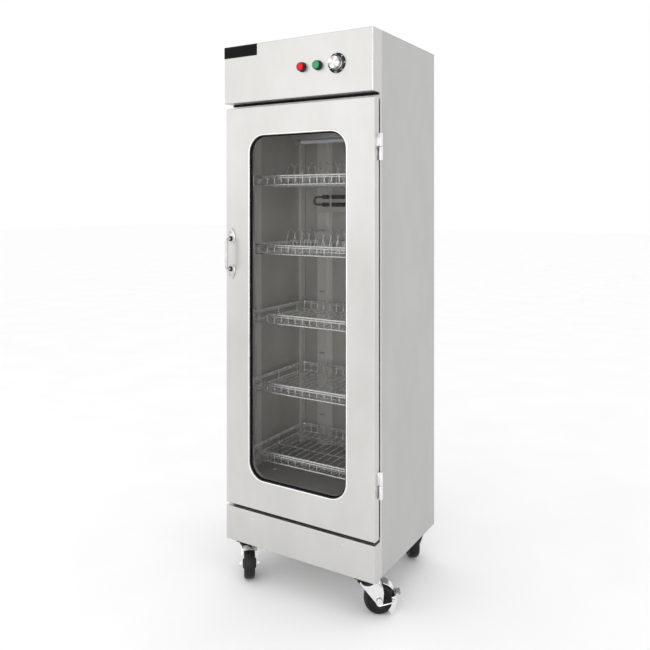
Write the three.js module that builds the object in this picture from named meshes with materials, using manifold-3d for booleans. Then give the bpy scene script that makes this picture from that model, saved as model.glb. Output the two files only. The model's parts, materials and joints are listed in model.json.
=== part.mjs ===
// Upright glazed UV sterilizing and drying cabinet on four swivel casters.
// Millimetres, +Z up. The door faces -Y and is hinged on its right-hand (+X) side.
// The parts are laid out with X = 0 on the centre line, Y = 0 on the door's front face and Z = 0
// on the floor. The finished group is then moved so that its origin is the bottom centre of its box.

import * as THREE from 'three';
import { mergeVertices } from 'three/addons/utils/BufferGeometryUtils.js';
import Module from 'manifold-3d';

const wasm = await Module();
wasm.setup();

// ---------------------------------------------------------------- driving dimensions
const WIDTH = 600;
const BODY_DEPTH = 490;
const BODY_HEIGHT = 1767;
const CASTER_HEIGHT = 133;
const GAP = 0.3;
const SHEET = 1.2;

// front layer: plinth, door and header, from the bottom up
const PLINTH_HEIGHT = 120;
const DOOR_BOTTOM = 131;
const DOOR_HEIGHT = 1416;
const HEADER_BOTTOM = 1564;
const HEADER_PROUD = 12;
const DOOR_THICK = 30;
const FRAME_FRONT = 40;
const FRAME_THICK = 12;

// chamber
const WALL = 30;
const CHAMBER_FLOOR = 225;
const CHAMBER_CEILING = 1479;
const CHAMBER_BACK = 465;

// window
const WINDOW_WIDTH = 390;
const WINDOW_BOTTOM = 238;
const WINDOW_TOP = 1445;
const WINDOW_CORNER = 60;

// baskets and their uprights
const BASKET_COUNT = 5;
const FIRST_RIM = 310;
const BASKET_PITCH = 250;
const BASKET_WIDTH = 514;
const BASKET_FRONT = 80;
const BASKET_BACK = 436;
const BASKET_HEIGHT = 40;
const BASKET_WIRE = 5;
const ARCH_COUNT = 13;
const ARCH_PITCH = 32;
const ARCH_RISE = 50;
const RACK_FRONT = 216;
const RACK_BACK = 300;
const UPRIGHT_WIDTH = 30;
const UPRIGHT_DEPTH = 10;

// hinges
const HINGE_RADIUS = 7;
const HINGE_X = WIDTH / 2 + GAP + HINGE_RADIUS + 0.1;
const HINGE_Y = 28;
const HINGE_LENGTH = 88;
const HINGE_HEIGHTS = { top: 1389, bottom: 306 };

// controls
const CONTROL_HEIGHT = 1663;
const RED_X = 35;
const GREEN_X = 97;
const KNOB_X = 170;
const BUTTON_TRAVEL = 2.5;

// casters
const WHEEL_RADIUS = 50;
const TREAD_WIDTH = 40;
const TRAIL = 38;
const SWIVEL_X = 242;
const SWIVEL_FRONT = 60;
const SWIVEL_BACK = 440;
const CASTERS = [
  { name: 'front_left', x: -SWIVEL_X, y: SWIVEL_FRONT, turn: -52, brake: false },
  { name: 'front_right', x: SWIVEL_X, y: SWIVEL_FRONT, turn: 31, brake: true },
  { name: 'rear_left', x: -SWIVEL_X, y: SWIVEL_BACK, turn: 211, brake: true },
  { name: 'rear_right', x: SWIVEL_X, y: SWIVEL_BACK, turn: 129, brake: false },
];

// heights above the floor, worked out from heights above the body's underside
const above = (height) => CASTER_HEIGHT + height;
const BODY_BOTTOM = above(0);
const BODY_TOP = above(BODY_HEIGHT);
const HALF = WIDTH / 2;
const INNER = HALF - WALL;
const FRAME_BACK = FRAME_FRONT + FRAME_THICK;
const HEADER_FRONT = -HEADER_PROUD;
const rimHeight = (tier) => above(FIRST_RIM + tier * BASKET_PITCH);

// ---------------------------------------------------------------- finishes
const finish = (color, roughness, metalness) => ({ color, roughness, metalness });
const SKIN = finish(0xcfcfcb, 0.38, 0.85);
const SIDE_SKIN = finish(0xb7b7b3, 0.42, 0.85);
const LINER = finish(0x85877f, 0.45, 0.8);
const CHROME = finish(0xe2e3e4, 0.15, 1.0);
const DARK_STEEL = finish(0x4b4d4a, 0.5, 0.7);
const RUBBER = finish(0x1a1a19, 0.75, 0.0);
const BLACK_PLASTIC = finish(0x17181a, 0.45, 0.0);
const RED_PLASTIC = finish(0xc4262a, 0.3, 0.0);
const GREEN_PLASTIC = finish(0x14874f, 0.3, 0.0);
const TINTED_GLASS = finish(0x4d524d, 0.05, 0.0);
const LAMP_GLASS = finish(0xe6ebf2, 0.1, 0.0);

const group = new THREE.Group();

// ---------------------------------------------------------------- shape helpers
function solidOf(geometry) {
  const bare = geometry.clone();
  bare.deleteAttribute('normal');
  bare.deleteAttribute('uv');
  const merged = mergeVertices(bare, 1e-4);
  return new wasm.Manifold(new wasm.Mesh({
    numProp: 3,
    vertProperties: new Float32Array(merged.attributes.position.array),
    triVerts: new Uint32Array(merged.index.array),
  }));
}

function geometryOf(solid) {
  const mesh = solid.getMesh();
  const geometry = new THREE.BufferGeometry();
  geometry.setAttribute('position', new THREE.BufferAttribute(mesh.vertProperties, 3));
  geometry.setIndex(new THREE.BufferAttribute(mesh.triVerts, 1));
  geometry.computeVertexNormals();
  return geometry;
}

function join(...geometries) {
  return geometryOf(geometries.map(solidOf).reduce((sum, solid) => sum.add(solid)));
}

function cut(geometry, ...cutters) {
  return geometryOf(cutters.map(solidOf).reduce((rest, solid) => rest.subtract(solid), solidOf(geometry)));
}

function box(x0, x1, y0, y1, z0, z1) {
  const geometry = new THREE.BoxGeometry(x1 - x0, y1 - y0, z1 - z0);
  geometry.translate((x0 + x1) / 2, (y0 + y1) / 2, (z0 + z1) / 2);
  return geometry;
}

function rodX(radius, x0, x1, y, z, sides = 12) {
  const geometry = new THREE.CylinderGeometry(radius, radius, x1 - x0, sides);
  geometry.rotateZ(Math.PI / 2);
  geometry.translate((x0 + x1) / 2, y, z);
  return geometry;
}

function rodY(radius, y0, y1, x, z, sides = 24) {
  const geometry = new THREE.CylinderGeometry(radius, radius, y1 - y0, sides);
  geometry.translate(x, (y0 + y1) / 2, z);
  return geometry;
}

function rodZ(radius, z0, z1, x, y, sides = 24) {
  const geometry = new THREE.CylinderGeometry(radius, radius, z1 - z0, sides);
  geometry.rotateX(Math.PI / 2);
  geometry.translate(x, y, (z0 + z1) / 2);
  return geometry;
}

// a shape drawn in X and Z, made solid between two depths
function slabXZ(shape, y0, y1, curveSegments = 6) {
  const geometry = new THREE.ExtrudeGeometry(shape, { depth: y1 - y0, bevelEnabled: false, curveSegments });
  geometry.rotateX(Math.PI / 2);
  geometry.translate(0, y1, 0);
  return geometry;
}

// a shape drawn in X and Y, made solid between two heights
function slabXY(shape, z0, z1, curveSegments = 6) {
  const geometry = new THREE.ExtrudeGeometry(shape, { depth: z1 - z0, bevelEnabled: false, curveSegments });
  geometry.translate(0, 0, z0);
  return geometry;
}

function traceRounded(path, x0, x1, y0, y1, radius) {
  path.moveTo(x0 + radius, y0);
  path.lineTo(x1 - radius, y0);
  path.absarc(x1 - radius, y0 + radius, radius, -Math.PI / 2, 0, false);
  path.lineTo(x1, y1 - radius);
  path.absarc(x1 - radius, y1 - radius, radius, 0, Math.PI / 2, false);
  path.lineTo(x0 + radius, y1);
  path.absarc(x0 + radius, y1 - radius, radius, Math.PI / 2, Math.PI, false);
  path.lineTo(x0, y0 + radius);
  path.absarc(x0 + radius, y0 + radius, radius, Math.PI, 1.5 * Math.PI, false);
  path.closePath();
  return path;
}

const roundedShape = (...sizes) => traceRounded(new THREE.Shape(), ...sizes);

// the window's outline, grown outwards by an offset
function windowOutline(offset) {
  const half = WINDOW_WIDTH / 2 + offset;
  const bottom = above(WINDOW_BOTTOM) - offset;
  const top = above(WINDOW_TOP) + offset;
  return [-half, half, bottom, top, WINDOW_CORNER + offset];
}

function windowSlab(offset, y0, y1) {
  return slabXZ(roundedShape(...windowOutline(offset)), y0, y1, 5);
}

function add(name, geometry, look, parent = group) {
  const mesh = new THREE.Mesh(geometry, new THREE.MeshStandardMaterial(look));
  mesh.name = name;
  parent.add(mesh);
  return mesh;
}

// ---------------------------------------------------------------- outer casing
function casing() {
  const flange = 14;
  const low = BODY_BOTTOM + GAP;
  const high = BODY_TOP - SHEET - GAP;
  const front = FRAME_BACK + GAP;
  for (const [name, side] of [['side_panel_left', -1], ['side_panel_right', 1]]) {
    const outline = new THREE.Shape();
    outline.moveTo(side * HALF, front);
    outline.lineTo(side * HALF, BODY_DEPTH);
    outline.lineTo(side * (HALF - flange), BODY_DEPTH);
    outline.lineTo(side * (HALF - flange), BODY_DEPTH - SHEET);
    outline.lineTo(side * (HALF - SHEET), BODY_DEPTH - SHEET);
    outline.lineTo(side * (HALF - SHEET), front + SHEET);
    outline.lineTo(side * (HALF - flange), front + SHEET);
    outline.lineTo(side * (HALF - flange), front);
    outline.closePath();
    add(name, slabXY(outline, low, high), SIDE_SKIN);
  }

  const backHalf = HALF - flange - GAP;
  add('back_panel', box(-backHalf, backHalf, BODY_DEPTH - SHEET, BODY_DEPTH, low, high), SIDE_SKIN);
  add('roof_panel', box(-HALF, HALF, front, BODY_DEPTH, BODY_TOP - SHEET, BODY_TOP), SIDE_SKIN);

  const panHalf = HALF - SHEET - GAP;
  const panBack = BODY_DEPTH - SHEET - GAP;
  const panFront = front + SHEET + GAP;
  const panThick = 3;
  const panLip = 24;
  add('base_pan', cut(
    box(-panHalf, panHalf, panFront, panBack, BODY_BOTTOM, BODY_BOTTOM + panLip),
    box(-panHalf + panThick, panHalf - panThick, panFront + panThick, panBack - panThick,
      BODY_BOTTOM + panThick, BODY_BOTTOM + panLip + 1),
  ), SIDE_SKIN);
}

function faceFrame() {
  const outline = new THREE.Shape();
  outline.moveTo(-HALF, BODY_BOTTOM);
  outline.lineTo(HALF, BODY_BOTTOM);
  outline.lineTo(HALF, BODY_TOP);
  outline.lineTo(-HALF, BODY_TOP);
  outline.closePath();
  const mouth = traceRounded(new THREE.Path(), -INNER, INNER, above(CHAMBER_FLOOR),
    above(CHAMBER_CEILING), 4);
  const wiringReach = 50;
  const wiring = traceRounded(new THREE.Path(), RED_X - 40, KNOB_X + 45, above(CONTROL_HEIGHT - wiringReach),
    above(CONTROL_HEIGHT + wiringReach), 6);
  outline.holes.push(mouth, wiring);
  add('face_frame', slabXZ(outline, FRAME_FRONT, FRAME_BACK, 3), SKIN);
}

// an open-backed tray of sheet, with its face at y0
function tray(y0, z0, z1) {
  return cut(
    box(-HALF, HALF, y0, FRAME_FRONT - GAP, z0, z1),
    box(-HALF + SHEET, HALF - SHEET, y0 + SHEET, FRAME_FRONT, z0 + SHEET, z1 - SHEET),
  );
}

function frontPanels() {
  const z = above(CONTROL_HEIGHT);
  const buttonHole = 11.6;
  const shaftHole = 5;
  const holes = [RED_X, GREEN_X].map((x) => rodY(buttonHole, HEADER_FRONT - 1, HEADER_FRONT + 3, x, z, 16));
  holes.push(rodY(shaftHole, HEADER_FRONT - 1, HEADER_FRONT + 3, KNOB_X, z, 16));
  add('header_panel', cut(tray(HEADER_FRONT, above(HEADER_BOTTOM), BODY_TOP), ...holes), SKIN);
  add('plinth_panel', tray(0, BODY_BOTTOM, above(PLINTH_HEIGHT)), SKIN);
}

// ---------------------------------------------------------------- chamber
function chamber() {
  const front = FRAME_BACK + GAP;
  const floor = above(CHAMBER_FLOOR);
  const ceiling = above(CHAMBER_CEILING);
  const inside = INNER - GAP;
  add('liner_left', box(-INNER - SHEET, -INNER, front, CHAMBER_BACK + SHEET, floor - SHEET,
    ceiling + SHEET), LINER);
  add('liner_right', box(INNER, INNER + SHEET, front, CHAMBER_BACK + SHEET, floor - SHEET,
    ceiling + SHEET), LINER);
  add('liner_back', box(-inside, inside, CHAMBER_BACK, CHAMBER_BACK + SHEET, floor - SHEET,
    ceiling + SHEET), LINER);
  add('liner_floor', box(-inside, inside, front, CHAMBER_BACK - GAP, floor - SHEET, floor), LINER);
  add('liner_ceiling', box(-inside, inside, front, CHAMBER_BACK - GAP, ceiling, ceiling + SHEET), LINER);
}

function sideUprights() {
  const slotAboveRim = 34;
  const slot = { half: 8, height: 5, deep: 4 };
  const lug = { half: 8, height: 4, reach: 8 };
  const z0 = above(CHAMBER_FLOOR) + GAP;
  const z1 = above(CHAMBER_CEILING) - GAP;
  const frontY = 144;
  const rearY = 447;
  const rearReach = 20;
  const places = [
    ['upright_front_left', -1, frontY, 0],
    ['upright_front_right', 1, frontY, 0],
    ['upright_rear_left', -1, rearY, rearReach],
    ['upright_rear_right', 1, rearY, rearReach],
  ];
  for (const [name, side, y, forward] of places) {
    const wall = side * (INNER - GAP);
    const face = side * (INNER - UPRIGHT_DEPTH);
    const span = (a, b) => [Math.min(a, b), Math.max(a, b)];
    const bar = box(...span(wall, face), y - UPRIGHT_WIDTH / 2, y + UPRIGHT_WIDTH / 2, z0, z1);
    const slots = [];
    const lugs = [];
    for (let tier = 0; tier < BASKET_COUNT; tier += 1) {
      const slotHeight = rimHeight(tier) + slotAboveRim;
      slots.push(box(...span(face - side, face + side * slot.deep), y - slot.half, y + slot.half,
        slotHeight, slotHeight + slot.height));
      const lugTop = rimHeight(tier) - BASKET_HEIGHT - GAP;
      lugs.push(box(...span(face + side, face - side * lug.reach), y - lug.half - forward, y + lug.half,
        lugTop - lug.height, lugTop));
    }
    add(name, join(cut(bar, ...slots), ...lugs), LINER);
  }
}

function backChannels() {
  const face = 452;
  const wall = CHAMBER_BACK - GAP;
  const thick = 1.5;
  const slotAboveRim = 35;
  const edge = { outer: 194, step: 150, inner: 130 };
  for (const [name, side] of [['back_channel_left', -1], ['back_channel_right', 1]]) {
    const outline = new THREE.Shape();
    outline.moveTo(side * edge.outer, wall);
    outline.lineTo(side * edge.outer, face);
    outline.lineTo(side * edge.step, face);
    outline.lineTo(side * edge.step, wall - thick);
    outline.lineTo(side * edge.inner, wall - thick);
    outline.lineTo(side * edge.inner, wall);
    outline.lineTo(side * (edge.step + thick), wall);
    outline.lineTo(side * (edge.step + thick), face + thick);
    outline.lineTo(side * (edge.outer - thick), face + thick);
    outline.lineTo(side * (edge.outer - thick), wall);
    outline.closePath();
    const bar = slabXY(outline, above(CHAMBER_FLOOR) + GAP, above(CHAMBER_CEILING) - GAP);
    const slots = [];
    for (let tier = 0; tier < BASKET_COUNT; tier += 1) {
      const z = rimHeight(tier) + slotAboveRim;
      const middle = side * (edge.outer + edge.step) / 2;
      slots.push(box(middle - 11, middle + 11, face - 1, face + 3, z, z + 6));
    }
    add(name, cut(bar, ...slots), LINER);
  }
}

// ---------------------------------------------------------------- wire baskets
function wireBasket(rim) {
  const wire = BASKET_WIRE;
  const half = BASKET_WIDTH / 2;
  const bottom = rim - BASKET_HEIGHT;
  const corner = 30;
  const outline = () => roundedShape(-half, half, BASKET_FRONT, BASKET_BACK, corner);

  const rimShape = outline();
  rimShape.holes.push(traceRounded(new THREE.Path(), -half + wire, half - wire, BASKET_FRONT + wire,
    BASKET_BACK - wire, corner - wire));

  const columns = 4;
  const columnWidth = (BASKET_WIDTH - 2 * wire) / columns;
  const openings = [];
  for (let column = 0; column < columns; column += 1) {
    const x = -half + wire + column * columnWidth;
    for (const [y0, y1] of [[BASKET_FRONT, RACK_FRONT], [RACK_FRONT, RACK_BACK], [RACK_BACK, BASKET_BACK]]) {
      openings.push(box(x + wire / 2, x + columnWidth - wire / 2, y0 + cornerRoom(y0, wire),
        y1 - cornerRoom(y1, wire), bottom - 1, bottom + wire + 1));
    }
  }

  const parts = [
    slabXY(rimShape, rim - wire, rim, 3),
    cut(slabXY(outline(), bottom, bottom + wire, 3), ...openings),
  ];
  const post = 3;
  const postBox = (x, y) => box(x - post / 2, x + post / 2, y - post / 2, y + post / 2, bottom + 1, rim - 1);
  const postX = [-1.5, -0.5, 0.5, 1.5].map((step) => step * columnWidth);
  for (const x of postX) {
    parts.push(postBox(x, BASKET_FRONT + wire / 2), postBox(x, BASKET_BACK - wire / 2));
  }
  for (const y of [RACK_FRONT, RACK_BACK]) {
    parts.push(postBox(-half + wire / 2, y), postBox(half - wire / 2, y));
  }
  return join(...parts);
}

// the room a floor opening leaves beside a wire that runs along X
function cornerRoom(y, wire) {
  const atEdge = y === BASKET_FRONT || y === BASKET_BACK;
  return atEdge ? 3 * wire : wire / 2;
}

// the rack of upright loops that hold plates on edge, standing on a basket's floor wires
function plateRack(rim) {
  const thin = 3;
  const footWire = 2.4;
  const foot = rim - BASKET_HEIGHT + BASKET_WIRE + GAP;
  const middle = (RACK_FRONT + RACK_BACK) / 2;
  const reach = (RACK_BACK - RACK_FRONT) / 2 + thin / 2;
  const shoulder = 12;
  const top = rim + ARCH_RISE;
  const parts = [];
  for (let i = 0; i < ARCH_COUNT; i += 1) {
    const outline = new THREE.Shape();
    outline.moveTo(-reach, foot);
    outline.lineTo(-reach + thin, foot);
    outline.lineTo(-shoulder + 1, top - thin);
    outline.lineTo(shoulder - 1, top - thin);
    outline.lineTo(reach - thin, foot);
    outline.lineTo(reach, foot);
    outline.lineTo(shoulder, top);
    outline.lineTo(-shoulder, top);
    outline.closePath();
    const loop = slabXZ(outline, -thin / 2, thin / 2);
    loop.rotateZ(Math.PI / 2);
    loop.translate((i - (ARCH_COUNT - 1) / 2) * ARCH_PITCH, middle, 0);
    parts.push(loop);
  }
  const reachX = ((ARCH_COUNT - 1) / 2) * ARCH_PITCH + 8;
  for (const y of [RACK_FRONT, RACK_BACK]) {
    parts.push(box(-reachX, reachX, y - footWire / 2, y + footWire / 2, foot + GAP, foot + GAP + footWire));
  }
  return join(...parts);
}

function baskets() {
  for (let tier = 0; tier < BASKET_COUNT; tier += 1) {
    const number = BASKET_COUNT - tier;
    add(`basket_${number}`, wireBasket(rimHeight(tier)), CHROME);
    if (number <= 2) {
      add(`plate_rack_${number}`, plateRack(rimHeight(tier)), CHROME);
    }
  }
}

// ---------------------------------------------------------------- lamp and heater
function uvLamp() {
  const ceiling = above(CHAMBER_CEILING);
  const y = (BASKET_FRONT + BASKET_BACK) / 2;
  const half = 170;
  const housing = box(-half, half, y - 30, y + 30, ceiling - 30, ceiling - GAP);
  const holder = 12;
  const holders = [-1, 1].map((side) => {
    const inner = side * (half - holder);
    const outer = side * half;
    return box(Math.min(inner, outer), Math.max(inner, outer), y - 12, y + 12, ceiling - 48, ceiling - 28);
  });
  add('lamp_fitting', join(housing, ...holders), SKIN);
  const reach = half - holder - GAP;
  const tubeHeight = ceiling - 39;
  const tubeRadius = 7.5;
  const capRadius = 8.2;
  const capLength = 14;
  add('uv_lamp_tube', join(
    rodX(tubeRadius, -reach + 2, reach - 2, y, tubeHeight, 16),
    rodX(capRadius, -reach, -reach + capLength, y, tubeHeight, 16),
    rodX(capRadius, reach - capLength, reach, y, tubeHeight, 16),
  ), LAMP_GLASS);
}

function heater() {
  const low = above(1202);
  const high = above(1233);
  const y = 441;
  const left = -202;
  const right = 200;
  const rod = 4.5;
  const bendRadius = (high - low) / 2;
  const middle = (low + high) / 2;
  const start = left + bendRadius;
  const parts = [rodX(rod, start, right, y, low, 8), rodX(rod, start, right, y, high, 8)];
  parts.push(bendTube(start, y, middle, bendRadius, rod));
  for (const z of [low, high]) {
    parts.push(rodY(rod, y, 449, right - rod, z, 8));
  }
  const finCount = 9;
  const finPitch = 38;
  const fin = { half: 2, reach: 8, proud: 9 };
  for (let i = 0; i < finCount; i += 1) {
    const x = (i - (finCount - 1) / 2) * finPitch + 8;
    parts.push(box(x - fin.half, x + fin.half, y - fin.reach, y + fin.reach, low - fin.proud,
      high + fin.proud));
  }
  add('heating_element', join(...parts), DARK_STEEL);

  const plateHalf = 195;
  const plateBack = 452 - GAP;
  add('heater_plate', join(
    box(-plateHalf, plateHalf, plateBack - 1.5, plateBack, above(1174), above(1245)),
    box(-plateHalf, plateHalf, 424, plateBack, above(1172), above(1174)),
    box(-plateHalf, plateHalf, 438, plateBack, above(1244), above(1246)),
  ), LINER);
}

// the half-round end of the heating element
function bendTube(x, y, z, radius, rod) {
  const section = new THREE.Shape();
  section.absarc(0, 0, rod, 0, 2 * Math.PI, false);
  class HalfTurn extends THREE.Curve {
    getPoint(t, target = new THREE.Vector3()) {
      const angle = Math.PI / 2 + t * Math.PI;
      return target.set(x + radius * Math.cos(angle), y, z + radius * Math.sin(angle));
    }
  }
  return new THREE.ExtrudeGeometry(section, { steps: 6, extrudePath: new HalfTurn(), curveSegments: 4 });
}

// ---------------------------------------------------------------- controls
function button(name, x, capLook) {
  const z = above(CONTROL_HEIGHT);
  const face = HEADER_FRONT - GAP;
  const capFront = HEADER_FRONT - 20;
  const collarFront = capFront + 4;
  const capBack = capFront + 11;
  const stemEnd = HEADER_FRONT + 2;
  const block = box(x - 14, x + 14, HEADER_FRONT + SHEET + GAP, 26, z - 14, z + 14);
  add(`${name}_button_base`, cut(
    join(rodY(15, collarFront, face, x, z, 20), rodY(11, face - 1, 0, x, z, 16), block),
    rodY(13.3, collarFront - 1, capBack + BUTTON_TRAVEL + 1, x, z, 20),
    rodY(9.6, collarFront - 1, stemEnd + BUTTON_TRAVEL + 1, x, z, 16),
  ), BLACK_PLASTIC);
  add(`${name}_button`, join(
    rodY(12.8, capFront, capBack, x, z, 20),
    rodY(9, capBack - 1, stemEnd, x, z, 16),
  ), capLook);
}

function thermostat() {
  const z = above(CONTROL_HEIGHT);
  const plateBack = HEADER_FRONT - GAP;
  const plateFront = plateBack - 1.5;
  const knobBack = plateFront - 0.5;
  const knobFront = HEADER_FRONT - 26;
  add('dial_plate', cut(
    rodY(35, plateFront, plateBack, KNOB_X, z, 32),
    rodY(5, plateFront - 1, plateBack + 1, KNOB_X, z, 16),
  ), BLACK_PLASTIC);
  const profile = [
    new THREE.Vector2(0, 0),
    new THREE.Vector2(22, 0),
    new THREE.Vector2(22, 4),
    new THREE.Vector2(20.5, 7),
    new THREE.Vector2(20, knobBack - knobFront - 2),
    new THREE.Vector2(18.5, knobBack - knobFront),
    new THREE.Vector2(0, knobBack - knobFront),
  ];
  const skirt = new THREE.LatheGeometry(profile, 24);
  skirt.rotateX(Math.PI);
  skirt.translate(KNOB_X, knobBack, z);
  const pointer = box(KNOB_X - 1, KNOB_X + 1, knobFront - 1, knobFront + 0.8, z + 8, z + 17);
  add('thermostat_knob', cut(join(skirt, rodY(3, knobBack - 1, 8, KNOB_X, z, 12)), pointer), CHROME);
}

// ---------------------------------------------------------------- door
function door() {
  const z0 = above(DOOR_BOTTOM);
  const z1 = z0 + DOOR_HEIGHT;
  const depth = DOOR_THICK;
  const skin = cut(
    box(-HALF, HALF, 0, depth - SHEET - GAP, z0, z1),
    box(-HALF + SHEET, HALF - SHEET, SHEET, depth, z0 + SHEET, z1 - SHEET),
    windowSlab(0, -1, SHEET + 1),
  );
  add('door_outer', skin, SKIN);

  const jambOuter = SHEET;
  const inner = join(
    box(-HALF, HALF, depth - SHEET, depth, z0, z1),
    windowSlab(jambOuter, SHEET + GAP, depth),
  );
  add('door_inner', cut(inner, windowSlab(0, 0, depth + 1)), SKIN);

  const gasketFront = 3;
  const gasketBack = 15;
  const gasketLip = 4;
  const glassFront = 6;
  const glassBack = 10;
  const glassInset = 1.5;
  add('window_gasket', cut(
    windowSlab(-GAP, gasketFront, gasketBack),
    windowSlab(-gasketLip, gasketFront - 1, gasketBack + 1),
    windowSlab(-glassInset + GAP, glassFront - GAP, glassBack + GAP),
  ), RUBBER);
  add('window_glass', windowSlab(-glassInset, glassFront, glassBack), TINTED_GLASS);

  const sealEdge = 10;
  const sealWidth = 14;
  const sealOuter = HALF - sealEdge;
  const sealInner = INNER + 6;
  const sealShape = new THREE.Shape();
  sealShape.moveTo(-sealOuter, z0 + sealEdge);
  sealShape.lineTo(sealOuter, z0 + sealEdge);
  sealShape.lineTo(sealOuter, z1 - sealEdge);
  sealShape.lineTo(-sealOuter, z1 - sealEdge);
  sealShape.closePath();
  const sealHole = new THREE.Path();
  sealHole.moveTo(-sealInner, z0 + sealEdge + sealWidth);
  sealHole.lineTo(-sealInner, z1 - sealEdge - sealWidth);
  sealHole.lineTo(sealInner, z1 - sealEdge - sealWidth);
  sealHole.lineTo(sealInner, z0 + sealEdge + sealWidth);
  sealHole.closePath();
  sealShape.holes.push(sealHole);
  add('door_seal', slabXZ(sealShape, depth + GAP, FRAME_FRONT - GAP), RUBBER);
}

function handle() {
  const x = -HALF + 26;
  const z = above(1027);
  const halfSpan = 54;
  const standOff = -32;
  const radius = 5.2;
  const bend = 14;
  const foot = -GAP - 2;
  const point = (y, dz) => new THREE.Vector3(x, y, z + dz);
  const path = new THREE.CurvePath();
  path.add(new THREE.LineCurve3(point(foot, -halfSpan), point(standOff + bend, -halfSpan)));
  path.add(new THREE.QuadraticBezierCurve3(point(standOff + bend, -halfSpan), point(standOff, -halfSpan),
    point(standOff, -halfSpan + bend)));
  path.add(new THREE.LineCurve3(point(standOff, -halfSpan + bend), point(standOff, halfSpan - bend)));
  path.add(new THREE.QuadraticBezierCurve3(point(standOff, halfSpan - bend), point(standOff, halfSpan),
    point(standOff + bend, halfSpan)));
  path.add(new THREE.LineCurve3(point(standOff + bend, halfSpan), point(foot, halfSpan)));
  const section = new THREE.Shape();
  section.absarc(0, 0, radius, 0, 2 * Math.PI, false);
  const bar = new THREE.ExtrudeGeometry(section, { steps: 28, extrudePath: path, curveSegments: 4 });
  const feet = [-1, 1].map((side) => {
    const outline = new THREE.Shape();
    outline.absellipse(x, z + side * (halfSpan + 18), 15, 20, 0, 2 * Math.PI, false, 0);
    const collar = new THREE.Shape();
    collar.absellipse(x, z + side * halfSpan, 9, 9, 0, 2 * Math.PI, false, 0);
    return join(slabXZ(outline, -4.5, -GAP, 8), slabXZ(collar, -8, -GAP, 5));
  });
  add('handle', join(bar, ...feet), CHROME);
}

// lift-off hinge: the frame's half carries the pin, the door's half sits on it
function hinge(place) {
  const middle = above(HINGE_HEIGHTS[place]);
  const low = middle - HINGE_LENGTH / 2;
  const high = middle + HINGE_LENGTH / 2;
  const pin = 3.5;
  const bore = 3.9;
  const strap = [HALF + GAP, HALF + GAP + 3];
  add(`hinge_${place}_frame_leaf`, join(
    rodZ(HINGE_RADIUS, low, middle - 0.5, HINGE_X, HINGE_Y, 16),
    rodZ(pin, middle - 2, high - 6, HINGE_X, HINGE_Y, 12),
    box(...strap, HINGE_Y, FRAME_FRONT + 7, low, middle - 0.5),
  ), CHROME);
  add(`hinge_${place}_door_leaf`, cut(
    join(
      rodZ(HINGE_RADIUS, middle, high, HINGE_X, HINGE_Y, 16),
      box(...strap, HINGE_Y - 11, HINGE_Y, middle, high),
    ),
    rodZ(bore, middle - 1, high - 5, HINGE_X, HINGE_Y, 12),
  ), CHROME);
}

// ---------------------------------------------------------------- casters
// Each is built about its swivel axis: Z = 0 on the body's underside, the wheel trails towards +X.
function caster({ name, x, y, turn, brake }) {
  const fixed = new THREE.Group();
  fixed.position.set(x, y, BODY_BOTTOM);
  group.add(fixed);
  const turned = new THREE.Group();
  turned.position.set(x, y, BODY_BOTTOM);
  turned.rotation.z = THREE.MathUtils.degToRad(turn);
  group.add(turned);

  const axle = WHEEL_RADIUS - CASTER_HEIGHT;
  add(`caster_${name}_head`, casterHead(), BLACK_PLASTIC, fixed);
  add(`caster_${name}_fork`, casterFork(axle), CHROME, turned);
  const wheel = add(`caster_${name}_wheel`, casterWheel(), RUBBER, turned);
  wheel.position.set(TRAIL, 0, axle);
  if (brake) {
    const pedal = add(`caster_${name}_brake_pedal`, brakePedal(), CHROME, turned);
    pedal.position.set(TRAIL, 0, axle);
  }
}

const CROWN_TOP = -18.5;

function casterHead() {
  return join(
    box(-48, 48, -38, 38, -5, -GAP),
    rodZ(30, -13, -4, 0, 0, 20),
    rodZ(37, -18, -13, 0, 0, 20),
  );
}

function casterFork(axle) {
  const crownLow = CROWN_TOP - 6;
  const crown = join(rodZ(34, crownLow, CROWN_TOP, 0, 0, 20), box(0, 34, -29, 29, crownLow, CROWN_TOP));
  const cheek = new THREE.Shape();
  cheek.moveTo(-26, CROWN_TOP - 1);
  cheek.lineTo(-22, CROWN_TOP - 22);
  cheek.lineTo(TRAIL - 12, axle - 6);
  cheek.absarc(TRAIL, axle, 12, 1.15 * Math.PI, 2 * Math.PI, false);
  cheek.lineTo(TRAIL + 12, CROWN_TOP - 30);
  cheek.lineTo(34, CROWN_TOP - 1);
  cheek.closePath();
  const inner = TREAD_WIDTH / 2 + 6;
  const outer = inner + 3;
  return join(
    crown,
    slabXZ(cheek, -outer, -inner, 5),
    slabXZ(cheek, inner, outer, 5),
    rodY(5, -outer - 7, outer + 7, TRAIL, axle, 10),
    rodY(9, -outer - 5, -outer + 1, TRAIL, axle, 6),
    rodY(9, outer - 1, outer + 5, TRAIL, axle, 6),
  );
}

function casterWheel() {
  const half = TREAD_WIDTH / 2;
  const hub = half + 4;
  const bore = 5.5;
  const shoulder = 4;
  const tyre = [
    new THREE.Vector2(0, -half),
    new THREE.Vector2(WHEEL_RADIUS - shoulder, -half),
    new THREE.Vector2(WHEEL_RADIUS, -half + shoulder),
    new THREE.Vector2(WHEEL_RADIUS, half - shoulder),
    new THREE.Vector2(WHEEL_RADIUS - shoulder, half),
    new THREE.Vector2(0, half),
  ];
  return cut(
    join(new THREE.LatheGeometry(tyre, 32), rodY(16, -hub, hub, 0, 0, 12)),
    rodY(bore, -hub - 1, hub + 1, 0, 0, 12),
  );
}

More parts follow.
